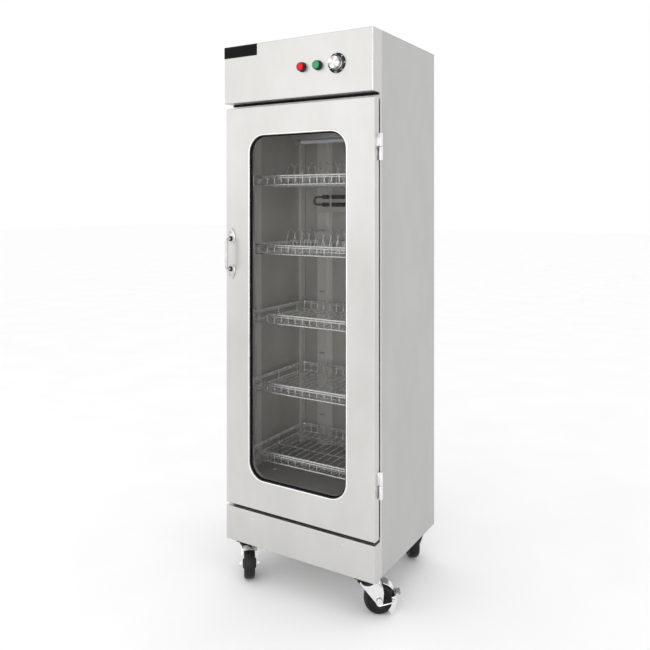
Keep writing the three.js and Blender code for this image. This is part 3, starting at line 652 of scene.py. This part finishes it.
def dial():
    """The fixed plate behind the knob: a rimmed disc with ticks and plain numbers."""
    low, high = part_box("dial_plate")
    centre = (low + high) / 2
    face = HEADER_LOW.y
    bm = bmesh.new()
    disc = [(0, 0.0002), (0.0338, 0.0002), (0.0338, 0.0019), (0.0332, 0.0023), (0, 0.0023)]
    lathe(bm, disc, (centre.x, face, centre.z), (0, -1, 0), 72)
    place_piece("dial_face", bm, BLACK, "cabinet", ("dial_plate",))
    bm = bmesh.new()
    rim = [(0.0336, 0.0002), (0.035, 0.0002), (0.0352, 0.0016), (0.0346, 0.0026), (0.0338, 0.0026),
           (0.0334, 0.002)]
    loft(bm, about_y([(radius, face - out) for radius, out in rim], centre, 72), wrap=True)
    place_piece("dial_rim", bm, POLISHED_STEEL_AND_HIGHLIGHT, "cabinet", turn=50)

    bm = bmesh.new()
    ticks = 31
    front = face - 0.00238

    def outward(share):
        """The direction from the centre to a share of the way round the scale."""
        angle = math.radians(120) + math.pi / 2 + math.radians(300) * share
        return Vector((math.cos(-angle), 0, math.sin(-angle)))

    for i in range(ticks):
        long = i % 5 == 0
        out = outward(i / (ticks - 1))
        across = Vector((-out.z, 0, out.x)) * (0.00042 if long else 0.00024)
        start, end = 0.0236, (0.0262 if long else 0.025)
        corners = [out * start - across, out * end - across, out * end + across, out * start + across]
        lifted = [Vector((centre.x, front, centre.z)) + c for c in corners]
        loft(bm, [lifted, [c + Vector((0, 0.0002, 0)) for c in lifted]], caps=True)
    place_piece("dial_ticks", bm, PRINT, "cabinet")

    for i in range(7):
        text = str(30 * i)
        curve = bpy.data.curves.new(f"dial_number_{text}", "FONT")
        curve.body = text
        curve.size = 0.0068
        curve.align_x = "CENTER"
        curve.align_y = "CENTER"
        curve.extrude = 0.00006
        curve.materials.append(PRINT)
        number = in_scene(f"dial_number_{text}", curve)
        number.rotation_euler = (math.pi / 2, 0, 0)
        number.location = Vector((centre.x, front, centre.z)) + outward(i / 6) * 0.0296
        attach(number, "cabinet")


def knob():
    """A turned knob with a ribbed skirt and a pointer line."""
    low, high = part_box("thermostat_knob")
    centre = Vector(((low.x + high.x) / 2, low.y, (low.z + high.z) / 2))
    # The face colour swings between these greys in fans round the centre: painted highlights.
    spun = spun_metal_painted_highlights("spun_knob_face", centre, grey(0.97), grey(0.5))
    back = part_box("dial_plate")[0].y - 0.0005
    depth = back - low.y
    bm = bmesh.new()
    sides = 96
    profile = [(0.0, 0.0), (0.015, 0.0), (0.0158, 0.0003), (0.0164, 0.0), (0.0186, 0.0002), (0.0196, 0.001),
               (0.02, 0.0022), (0.0203, depth - 0.0075), (0.0206, depth - 0.0068), (0.0218, depth - 0.0042),
               (0.022, depth - 0.003), (0.022, depth), (0.0, depth)]
    rings = []
    for radius, along in profile:
        ribbed = 0.0022 < along < depth - 0.007 and radius > 0.019
        ring = []
        for k in range(sides):
            angle = 2 * math.pi * k / sides
            r = max(radius - (0.0005 if ribbed and k % 2 else 0), 1e-5)
            x, z = centre.x + r * math.cos(angle), centre.z + r * math.sin(angle)
            ring.append(Vector((x, low.y + along, z)))
        rings.append(ring)
    loft(bm, rings, caps=True)
    place_piece("thermostat_knob_shell", bm, spun, "thermostat_knob", ("thermostat_knob",), 30)
    bm = bmesh.new()
    start = (centre.x - 0.0009, low.y - 0.00035, centre.z + 0.0075)
    end = (centre.x + 0.0009, low.y + 0.0004, centre.z + 0.018)
    block(bm, start, end, 0.0003)
    place_piece("thermostat_pointer", bm, BLACK, "thermostat_knob")


# ---- chamber fittings
def basket(number):
    """A chromed wire basket: double rim, U-shaped floor wires and cross wires."""
    low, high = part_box(f"basket_{number}")
    floor = low.z
    rim = floor + 0.04
    corner = 0.03
    inside, wire, pitch = 0.0074, 0.0017, 0.03
    bm = bmesh.new()

    def ring(inset, z, radius, sides=10):
        x0, x1, y0, y1 = low.x + inset, high.x - inset, low.y + inset, high.y - inset
        outline = rounded_rectangle(x0, x1, y0, y1, corner - inset, 6)
        tube(bm, in_xy(outline, z), radius, sides, closed=True)

    ring(0.0034, rim - 0.0034, 0.0034)
    ring(0.0024, rim - 0.0108, 0.0022)
    ring(0.0026, floor + 0.0048, 0.0025)

    for i in range(-8, 9):
        x = i * pitch
        nearness = corner - (high.x - abs(x))
        draw_in = 0 if nearness <= 0 else corner - math.sqrt(max(corner ** 2 - nearness ** 2, 0))
        front, back = low.y + inside + draw_in, high.y - inside - draw_in
        points = [(x, front, rim - 0.003), (x, front, floor + wire + 0.001), (x, back, floor + wire + 0.001),
                  (x, back, rim - 0.003)]
        tube(bm, rounded_path(points, 0.011, 4), wire, 6)
    depth = high.y - low.y
    for share in (0.14, 0.5, 0.86):
        y = low.y + share * depth
        points = [(low.x + inside, y, rim - 0.003), (low.x + inside, y, floor + 0.0016),
                  (high.x - inside, y, floor + 0.0016), (high.x - inside, y, rim - 0.003)]
        tube(bm, rounded_path(points, 0.011, 4), 0.0018, 6)
    place_piece(f"basket_{number}_wires", bm, WIRE, "cabinet", (f"basket_{number}",), 60)


def plate_rack(number):
    """Thirteen upright loops across the basket, with the two wires they stand on."""
    low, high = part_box(f"plate_rack_{number}")
    bm = bmesh.new()
    foot, top = low.z + 0.0018, high.z - 0.001
    front, back = low.y + 0.0015, high.y - 0.0015
    middle, reach = (front + back) / 2, (back - front) / 2
    steps = 18
    for i in range(-6, 7):
        points = []
        for k in range(steps + 1):
            s = 2 * k / steps - 1
            points.append((i * 0.032, middle + reach * s, foot + (top - foot) * (1 - abs(s) ** 2.1)))
        tube(bm, points, 0.0017, 6)
    for y in (front, back):
        tube(bm, [(low.x, y, foot), (high.x, y, foot)], 0.0018, 6)
    rack = f"plate_rack_{number}"
    place_piece(f"{rack}_loops", bm, WIRE, "cabinet", (rack,), 60)


def ladder_upright(side_name, side):
    """A folded upright with a ladder of small notches, and the lugs that carry the baskets."""
    name = f"upright_rear_{side_name}"
    low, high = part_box(name)
    wall = low.x if side < 0 else high.x
    deep = 0.01
    face = wall - side * deep
    y0, y1 = high.y - 0.03, high.y
    n0, n1 = y0 + 0.01, y0 + 0.021
    pitch, notch = 0.015, 0.0055
    count = int((high.z - low.z - 0.02) / pitch)
    bm = bmesh.new()

    def quad(points):
        bm.faces.new([bm.verts.new(p) for p in points])

    def panel(z0, z1, ya, yb, x=face):
        quad([(x, ya, z0), (x, yb, z0), (x, yb, z1), (x, ya, z1)])

    inner = face + side * 0.004
    strips = ((y0, n0), (n0, n1), (n1, y1))
    edge_z = [low.z]
    z = low.z
    for i in range(count):
        start = low.z + 0.01 + i * pitch
        stop = start + notch
        for ya, yb in strips:
            panel(z, start, ya, yb)
        panel(start, stop, y0, n0)
        panel(start, stop, n1, y1)
        panel(start, stop, n0, n1, inner)
        for y in (n0, n1):
            quad([(face, y, start), (inner, y, start), (inner, y, stop), (face, y, stop)])
        for level in (start, stop):
            quad([(face, n0, level), (inner, n0, level), (inner, n1, level), (face, n1, level)])
        edge_z += [start, stop]
        z = stop
    for ya, yb in strips:
        panel(z, high.z, ya, yb)
    edge_z.append(high.z)
    for y in (y0, y1):
        for za, zb in zip(edge_z, edge_z[1:]):
            quad([(face, y, za), (wall, y, za), (wall, y, zb), (face, y, zb)])
    for za, zb in zip(edge_z, edge_z[1:]):
        quad([(wall, y0, za), (wall, y1, za), (wall, y1, zb), (wall, y0, zb)])
    for end in (low.z, high.z):
        around = ((face, y0), (face, n0), (face, n1), (face, y1), (wall, y1), (wall, y0))
        quad([(x, y, end) for x, y in around])
    for number in range(1, 6):
        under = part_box(f"basket_{number}")[0].z
        xs = sorted((face, face - side * 0.008))
        block(bm, (xs[0], y1 - 0.044, under - 0.0043), (xs[1], y1 - 0.008, under - 0.0003), 0.0005)
    place_piece(f"{name}_ladder", bm, RAIL_STEEL, "cabinet", (name,), 30)


def heater():
    """A U-shaped element with a spiral fin on each leg, held by clips on its backing plate."""
    low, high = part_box("heating_element")
    plate_low, plate_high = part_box("heater_plate")
    y = low.y + 0.008
    bend = 0.0155
    left = low.x + 0.0045
    right = high.x - 0.0045
    middle = (low.z + high.z) / 2
    legs = (middle - bend, middle + bend)
    rod = 0.0042
    bm = bmesh.new()
    points = [(right, plate_low.y + 0.024, legs[0]), (right, y, legs[0]), (left + bend, y, legs[0])]
    for i in range(1, 12):
        angle = math.radians(270 - 180 * i / 12)
        points.append((left + bend + bend * math.cos(angle), y, middle + bend * math.sin(angle)))
    points += [(left + bend, y, legs[1]), (right, y, legs[1]), (right, plate_low.y + 0.024, legs[1])]
    smooth = rounded_path(points[:3], 0.006, 4)[:-1] + points[2:-2] + rounded_path(points[-3:], 0.006, 4)[1:]
    tube(bm, smooth, rod, 14)
    fin_start, fin_end = left + 0.04, right - 0.014
    pitch, outer = 0.0052, 0.0088
    half_thick = Vector((0.00035, 0, 0))
    per_turn = 14
    total = int((fin_end - fin_start) / pitch * per_turn)
    for z in legs:
        rings = []
        for i in range(total + 1):
            angle = 2 * math.pi * i / per_turn
            x = fin_start + pitch * i / per_turn
            out = Vector((0, math.cos(angle), math.sin(angle)))
            base = Vector((x, y, z))
            root, tip = base + out * (rod - 0.0004), base + out * outer
            rings.append([root - half_thick, tip - half_thick, tip + half_thick, root + half_thick])
        loft(bm, rings, caps=True)
    place_piece("finned_element", bm, HEATER_METAL, "cabinet", ("heating_element",), 40)
    bm = bmesh.new()
    for share in (0.12, 0.5, 0.88):
        x = fin_start + share * (fin_end - fin_start)
        start = (x - 0.004, low.y - 0.0002, legs[0] - 0.0105)
        block(bm, start, (x + 0.004, low.y + 0.0012, legs[1] + 0.0105), 0.0004)
        for z in (legs[0] - 0.0105, legs[1] + 0.0093):
            block(bm, (x - 0.004, low.y, z), (x + 0.004, plate_high.y - 0.0012, z + 0.0012), 0.0003)
        screw_head(bm, (x, low.y - 0.0003, middle), (0, -1, 0), 0.0028, 0.0012)
    place_piece("element_clips", bm, RAIL_STEEL, "cabinet", extra=(BLACK,))


def lamp():
    """A glass tube with a metal cap and two pins at each end."""
    low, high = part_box("uv_lamp_tube")
    centre = (low + high) / 2
    radius = 0.0075
    length = high.x - low.x
    bm = bmesh.new()
    glass = [(0, 0.012), (radius, 0.012), (radius, length - 0.012), (0, length - 0.012)]
    cap = [(0, 0.001), (0.007, 0.001), (0.0082, 0.002), (0.0082, 0.013), (0.0078, 0.0145), (0, 0.0145)]
    pin = [(0, 0), (0.001, 0.0002), (0.0011, 0.002), (0, 0.002)]
    lathe(bm, glass, (low.x, centre.y, centre.z), (1, 0, 0), 28)
    for end, inward in ((low.x, 1), (high.x, -1)):
        axis = (inward, 0, 0)
        lathe(bm, cap, (end, centre.y, centre.z), axis, 28, material=1)
        for offset in (-0.003, 0.003):
            lathe(bm, pin, (end, centre.y + offset, centre.z), axis, 10, material=1)
    place_piece("lamp_tube", bm, TUBE_GLASS, "cabinet", ("uv_lamp_tube",), extra=(POLISHED_STEEL_AND_HIGHLIGHT,))


def drain():
    """The fitting in the chamber floor."""
    bm = bmesh.new()
    centre = (-0.181, FRONT + 0.139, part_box("liner_floor")[1].z)
    dished = [(0, -0.0001), (0.0075, -0.0001), (0.0085, 0.0006), (0.008, 0.0018), (0.005, 0.0026),
              (0.003, 0.0016), (0, 0.0016)]
    lathe(bm, dished, centre, (0, 0, 1), 28)
    place_piece("floor_fitting", bm, POLISHED_STEEL_AND_HIGHLIGHT, "cabinet")


def casing_screws():
    """Pan-head screws round the back panel."""
    low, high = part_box("back_panel")
    bm = bmesh.new()
    sides = (low.x + 0.008, high.x - 0.008)
    places = [(x, z) for x in (sides[0], 0.0, sides[1]) for z in (low.z + 0.012, high.z - 0.012)]
    places += [(x, low.z + (high.z - low.z) * i / 6) for i in range(1, 6) for x in sides]
    for x, z in places:
        screw_head(bm, (x, high.y, z), (0, 1, 0), 0.0042, 0.0018)
    place_piece("casing_screws", bm, CHROME, "cabinet", extra=(BLACK,))


# ---- casters
def hex_nut(bm, centre, axis, across, thick, material=0):
    radius = across / math.sqrt(3)
    profile = [(0, 0), (radius, 0), (radius, thick * 0.8), (radius * 0.88, thick), (0, thick)]
    lathe(bm, profile, centre, axis, 6, material)


def caster(place):
    """A mounting plate with its swivel race, a fork, a wheel and, where there is one, a brake pedal."""
    name = f"caster_{place}"
    swivel = JOINTS[f"{name}_swivel"]
    roll = JOINTS[f"{name}_roll"]
    axis = Vector(roll["axis"])
    turn = math.atan2(-axis.x, axis.y)
    pivot = Vector((swivel["pos_m"][0], swivel["pos_m"][1], UNDERSIDE))
    wheel = Vector(roll["pos_m"])
    trail = math.hypot(wheel.x - pivot.x, wheel.y - pivot.y)
    axle = wheel.z - UNDERSIDE
    world = Matrix.Translation(pivot) @ Matrix.Rotation(turn, 4, "Z")

    bm = bmesh.new()
    full = rounded_rectangle(-0.048, 0.048, -0.038, 0.038, 0.008, 6)
    soft = rounded_rectangle(-0.0472, 0.0472, -0.0372, 0.0372, 0.0075, 6)
    plate = ((soft, -0.0003), (full, -0.001), (full, -0.0042), (soft, -0.005))
    loft(bm, [in_xy(outline, z) for outline, z in plate], caps=True)
    for sx in (-1, 1):
        for sy in (-1, 1):
            hex_nut(bm, (sx * 0.038, sy * 0.028, -0.005), (0, 0, -1), 0.01, 0.0045, 2)
    ring = [(0, 0.0045), (0.0375, 0.0045), (0.0392, 0.0055), (0.0398, 0.0075), (0.0398, 0.0105),
            (0.0388, 0.0125), (0.0365, 0.0132), (0, 0.0132)]
    race = [(0, 0.013), (0.034, 0.013), (0.0352, 0.0145), (0.0352, 0.0165), (0.0335, 0.018), (0, 0.018)]
    lathe(bm, ring, (0, 0, 0), (0, 0, -1), 48, material=1)
    lathe(bm, race, (0, 0, 0), (0, 0, -1), 48)
    bm.transform(Matrix.Translation(pivot))
    place_piece(f"{name}_plate", bm, HUB, "cabinet", (f"{name}_head",), 30, (BLUE, CHROME))

    bm = bmesh.new()
    crown = -0.0188
    cup = [(0, 0), (0.0345, 0), (0.0362, 0.0015), (0.036, 0.005), (0.033, 0.011), (0.029, 0.015),
           (0, 0.015)]
    lathe(bm, cup, (0, 0, crown), (0, 0, -1), 44, material=1)
    inside, thick, edge = 0.0262, 0.0028, 0.0007
    outline = fork_cheek(trail, axle, crown)
    bolt_end = [(0, 0.0055), (0.0046, 0.0055), (0.0046, 0.0076), (0.0036, 0.0084), (0, 0.0084)]
    for side in (-1, 1):
        y_in, y_out, y_soft = side * inside, side * (inside + thick), side * (inside + thick - edge)
        cheek = [in_xz(outline, y_in), in_xz(outline, y_soft), in_xz(shrunk(outline, edge), y_out)]
        loft(bm, cheek, caps=True)
        hex_nut(bm, (trail, y_out, axle), (0, side, 0), 0.015, 0.006)
        lathe(bm, bolt_end, (trail, y_out, axle), (0, side, 0), 16)
    hood(bm, trail, crown, inside, thick)
    braked = f"{name}_brake_press" in JOINTS
    if braked:
        fender(bm, trail, axle)
    bm.transform(world)
    fork = f"{name}_fork"
    place_piece(f"{fork}_shell", bm, CHROME, fork, (fork,), 35, (HUB,))

    at_axle = world @ Matrix.Translation((trail, 0, axle))
    bm = bmesh.new()
    wheel_shape(bm)
    bm.transform(at_axle)
    rolling = f"{name}_wheel"
    place_piece(f"{name}_tyre", bm, TYRE, rolling, (rolling,), 40, (HUB, CHROME))

    if braked:
        bm = bmesh.new()
        brake_shape(bm)
        bm.transform(at_axle)
        brake = f"{name}_brake"
        place_piece(f"{name}_pedal", bm, CHROME, brake, (f"{brake}_pedal",), 35, (PAD,))


def shrunk(outline, by):
    """An outline drawn in towards its middle by about a given distance."""
    cx = sum(p[0] for p in outline) / len(outline)
    cz = sum(p[1] for p in outline) / len(outline)
    far = max(math.hypot(p[0] - cx, p[1] - cz) for p in outline)
    share = 1 - by / far
    return [(cx + (p[0] - cx) * share, cz + (p[1] - cz) * share) for p in outline]


def fork_cheek(trail, axle, crown):
    """The side of the fork: wide under the crown, narrowing to an eye round the axle."""
    eye = 0.0125
    outline = [(-0.0255, crown - 0.001), (-0.0245, crown - 0.006), (-0.02, crown - 0.013)]
    for i in range(13):
        angle = math.radians(205 + 165 * i / 12)
        outline.append((trail + eye * math.cos(angle), axle + eye * math.sin(angle)))
    outline += [(trail + 0.0145, crown - 0.036), (trail + 0.011, crown - 0.016)]
    outline.append((trail - 0.002, crown - 0.001))
    return outline


def hood(bm, trail, crown, inside, thick):
    """The pressed web that joins the cheeks over the wheel, with an oval opening."""
    half = inside + thick
    steps = 16
    section = [(-0.02, 0.0012), (trail - 0.003, 0.0012), (trail + 0.0095, 0.013), (trail + 0.008, 0.015),
               (trail - 0.005, 0.004), (-0.02, 0.004)]
    rings = []
    for i in range(steps + 1):
        across = -half + 2 * half * i / steps
        droop = 0.003 * (across / half) ** 2
        rings.append([Vector((x, across, crown - under - droop)) for x, under in section])
    loft(bm, rings, caps=True)


def fender(bm, trail, axle):
    """The hood's strip that runs down behind the wheel to just above the brake's tab."""
    inner, outer, half = 0.0545, 0.0568, 0.02
    steps = 12
    rings = []
    for i in range(steps + 1):
        angle = math.radians(78 - 44 * i / steps)
        out = Vector((math.cos(angle), 0, math.sin(angle)))
        centre = Vector((trail, 0, axle))
        wide = Vector((0, half - 0.006 * (i / steps) ** 3, 0))
        top, under = centre + out * outer, centre + out * inner
        rings.append([top + wide, top - wide, under - wide, under + wide])
    loft(bm, rings, caps=True)


def wheel_shape(bm):
    """A tyre with rounded shoulders and tread grooves on a ribbed hub, about the axle along Y."""
    radius, half = 0.05, 0.02
    tread = [(0.0355, half - 0.002), (0.04, half - 0.0004), (0.044, half - 0.001), (0.0475, half - 0.004),
             (0.0493, half - 0.0085), (radius, half - 0.014), (radius, 0.0012), (radius - 0.0006, 0.0006)]
    loft(bm, about_y(tread + [(r, -y) for r, y in reversed(tread)], sides=64), wrap=True)
    hub = [(0, 0.001), (0.0356, 0.001), (0.0356, 0.015), (0.034, 0.0165), (0.031, 0.015), (0.019, 0.013),
           (0.0165, 0.015), (0.016, 0.0225), (0.0148, 0.0238), (0, 0.0238)]
    for side in (-1, 1):
        lathe(bm, hub, (0, 0, 0), (0, side, 0), 48, material=1)
        for k in range(6):
            spoke = bmesh.new()
            block(spoke, (0.015, 0.012, -0.0016), (0.033, 0.017, 0.0016), 0.0005)
            spoke.transform(Matrix.Rotation(math.radians(60 * k), 4, "Y") @ Matrix.Diagonal((1, side, 1, 1)))
            mesh = bpy.data.meshes.new("spoke")
            spoke.to_mesh(mesh)
            spoke.free()
            before = len(bm.faces)
            bm.from_mesh(mesh)
            bm.faces.ensure_lookup_table()
            for face in bm.faces[before:]:
                face.material_index = 1
            bpy.data.meshes.remove(mesh)


def brake_shape(bm):
    """A pressed pedal round the wheel's trailing side, with a ribbed foot tab, about the axle along Y."""
    inner, outer = 0.0545, 0.0568
    half = 0.0225
    start, end = math.radians(-46), math.radians(17)
    steps = 14
    rings = []
    for i in range(steps + 1):
        angle = start + (end - start) * i / steps
        width = half if i > 4 else half - 0.006 * (1 - i / 4) ** 2
        out = Vector((math.cos(angle), 0, math.sin(angle)))
        crown = 0.0016 * math.sin(math.pi * i / steps)
        around = [(outer, across) for across in (-1, -0.6, 0, 0.6, 1)]
        around += [(inner, across) for across in (1, 0.6, 0, -0.6, -1)]
        ring = []
        for radius, across in around:
            lift = radius - 0.0012 * across ** 2 + crown * (1 - across ** 2)
            ring.append(out * lift + Vector((0, width * across, 0)))
        rings.append(ring)
    loft(bm, rings, caps=True)
    for side in (-1, 1):
        y = side * 0.038
        grip = Vector((math.cos(math.radians(4)), 0, math.sin(math.radians(4)))) * (inner + 0.001)
        path = [(0.0, y, -0.009), (0.018, y, -0.004), (0.04, y, 0.001), (grip.x, y * 0.62, grip.z)]
        eye = [(0.0066, 0), (0.0105, 0), (0.0105, 0.0026), (0.0066, 0.0026)]
        lathe(bm, eye, (0, y - 0.0013, 0), (0, 1, 0), 24)
        tube(bm, rounded_path([Vector(p) for p in path], 0.008, 4), 0.0022, 8)
    flange_in, flange_out = 0.0415, 0.0562
    arc = [start + (end - start) * i / steps for i in range(steps + 1)]
    outline = [(math.cos(a) * flange_out, math.sin(a) * flange_out) for a in arc]
    outline += [(math.cos(a) * flange_in, math.sin(a) * flange_in) for a in reversed(arc)]
    for side in (-1, 1):
        near, far = side * 0.0223, side * 0.0246
        loft(bm, [in_xz(outline, near), in_xz(outline, far)], caps=True)
    tab = rounded_rectangle(0.05, 0.0708, -0.018, 0.018, 0.004, 6)
    tab_soft = rounded_rectangle(0.0506, 0.0702, -0.0174, 0.0174, 0.0035, 6)
    layers = ((tab_soft, 0.0138), (tab, 0.0144), (tab, 0.0164), (tab_soft, 0.017))
    loft(bm, [in_xy(outline, z) for outline, z in layers], caps=True)
    block(bm, (0.053, -0.015, 0.0168), (0.07, 0.015, 0.0205), 0.0012, material=1)
    for i in range(5):
        x = 0.0547 + 0.0034 * i
        block(bm, (x - 0.0009, -0.014, 0.02), (x + 0.0009, 0.014, 0.0226), 0.0005, material=1)


# ---- carried-over CAD pieces
def carried_over():
    paint(FRONT_STEEL, "face_frame", "lamp_fitting")
    paint(SIDE_STEEL_PAINTED_SHADE, "side_panel_left", "side_panel_right", "back_panel", "roof_panel", "base_pan")
    paint(LINER_STEEL, "liner_left", "liner_right", "liner_back", "liner_ceiling")
    paint(FLOOR_STEEL, "liner_floor")
    paint(RAIL_STEEL, "upright_front_left", "upright_front_right", "back_channel_left", "back_channel_right",
          "heater_plate")
    for name in ("face_frame", "side_panel_left", "side_panel_right", "roof_panel"):
        soften(name, 0.0005)
    for name in ("upright_front_left", "upright_front_right", "lamp_fitting"):
        soften(name, 0.0006)


# ---- camera, light and floor
def camera():
    data = bpy.data.cameras.new("camera")
    data.sensor_width = 36.0
    data.lens = 38.554
    data.shift_y = -0.18845
    data.clip_start = 0.05
    data.clip_end = 60
    view = in_scene("camera", data)
    view.location = (1.3065, FRONT - 1.966, UNDERSIDE + 1.2104)
    view.rotation_euler = (math.radians(90), 0, math.radians(31.192))
    bpy.context.scene.camera = view


def area_light(name, place, target, size, energy, height=None):
    data = bpy.data.lights.new(name, "AREA")
    data.shape = "RECTANGLE"
    data.size = size
    data.size_y = height or size
    data.energy = energy
    lamp_object = in_scene(name, data)
    lamp_object.location = place
    lamp_object.rotation_euler = (Vector(target) - Vector(place)).to_track_quat("-Z", "Y").to_euler()


def studio():
    scene = bpy.context.scene
    scene.view_settings.view_transform = "Standard"
    world = bpy.data.worlds.new("studio_world")
    scene.world = world
    world.use_nodes = True
    background = world.node_tree.nodes["Background"]
    background.inputs["Color"].default_value = (1.0, 1.0, 1.0, 1)
    background.inputs["Strength"].default_value = 1.0
    area_light("front_key", (-1.6, -3.2, 2.2), (0, 0, 0.9), 2.6, 10, 2.6)
    area_light("front_fill", (1.0, -3.2, 1.3), (-0.1, 0.1, 0.9), 1.6, 16, 1.8)

    bm = bmesh.new()
    reach = 30.0
    corners = ((-reach, -reach), (reach, -reach), (reach, reach), (-reach, reach))
    bm.faces.new([bm.verts.new((x, y, 0)) for x, y in corners])
    mesh = bpy.data.meshes.new("floor")
    bm.to_mesh(mesh)
    bm.free()
    material, shader = new_material("pale_floor", Roughness=0.9)
    shader.inputs["Specular IOR Level"].default_value = 0.1
    tinted(material, shader, noise(material, 3.0), grey(0.97), grey(0.99))
    mesh.materials.append(material)
    in_scene("floor", mesh)


# ---- assembly
camera()
studio()
carried_over()
header()
plinth()
name_plate()
gap_painted_shade_strips()
door()
door_seal()
handle()
hinges()
push_button("red", RED)
push_button("green", GREEN)
dial()
knob()
for shelf in range(1, 6):
    basket(shelf)
for shelf in (1, 2):
    plate_rack(shelf)
ladder_upright("left", -1)
ladder_upright("right", 1)
heater()
lamp()
drain()
casing_screws()
for corner_name in ("front_left", "front_right", "rear_left", "rear_right"):
    caster(corner_name)
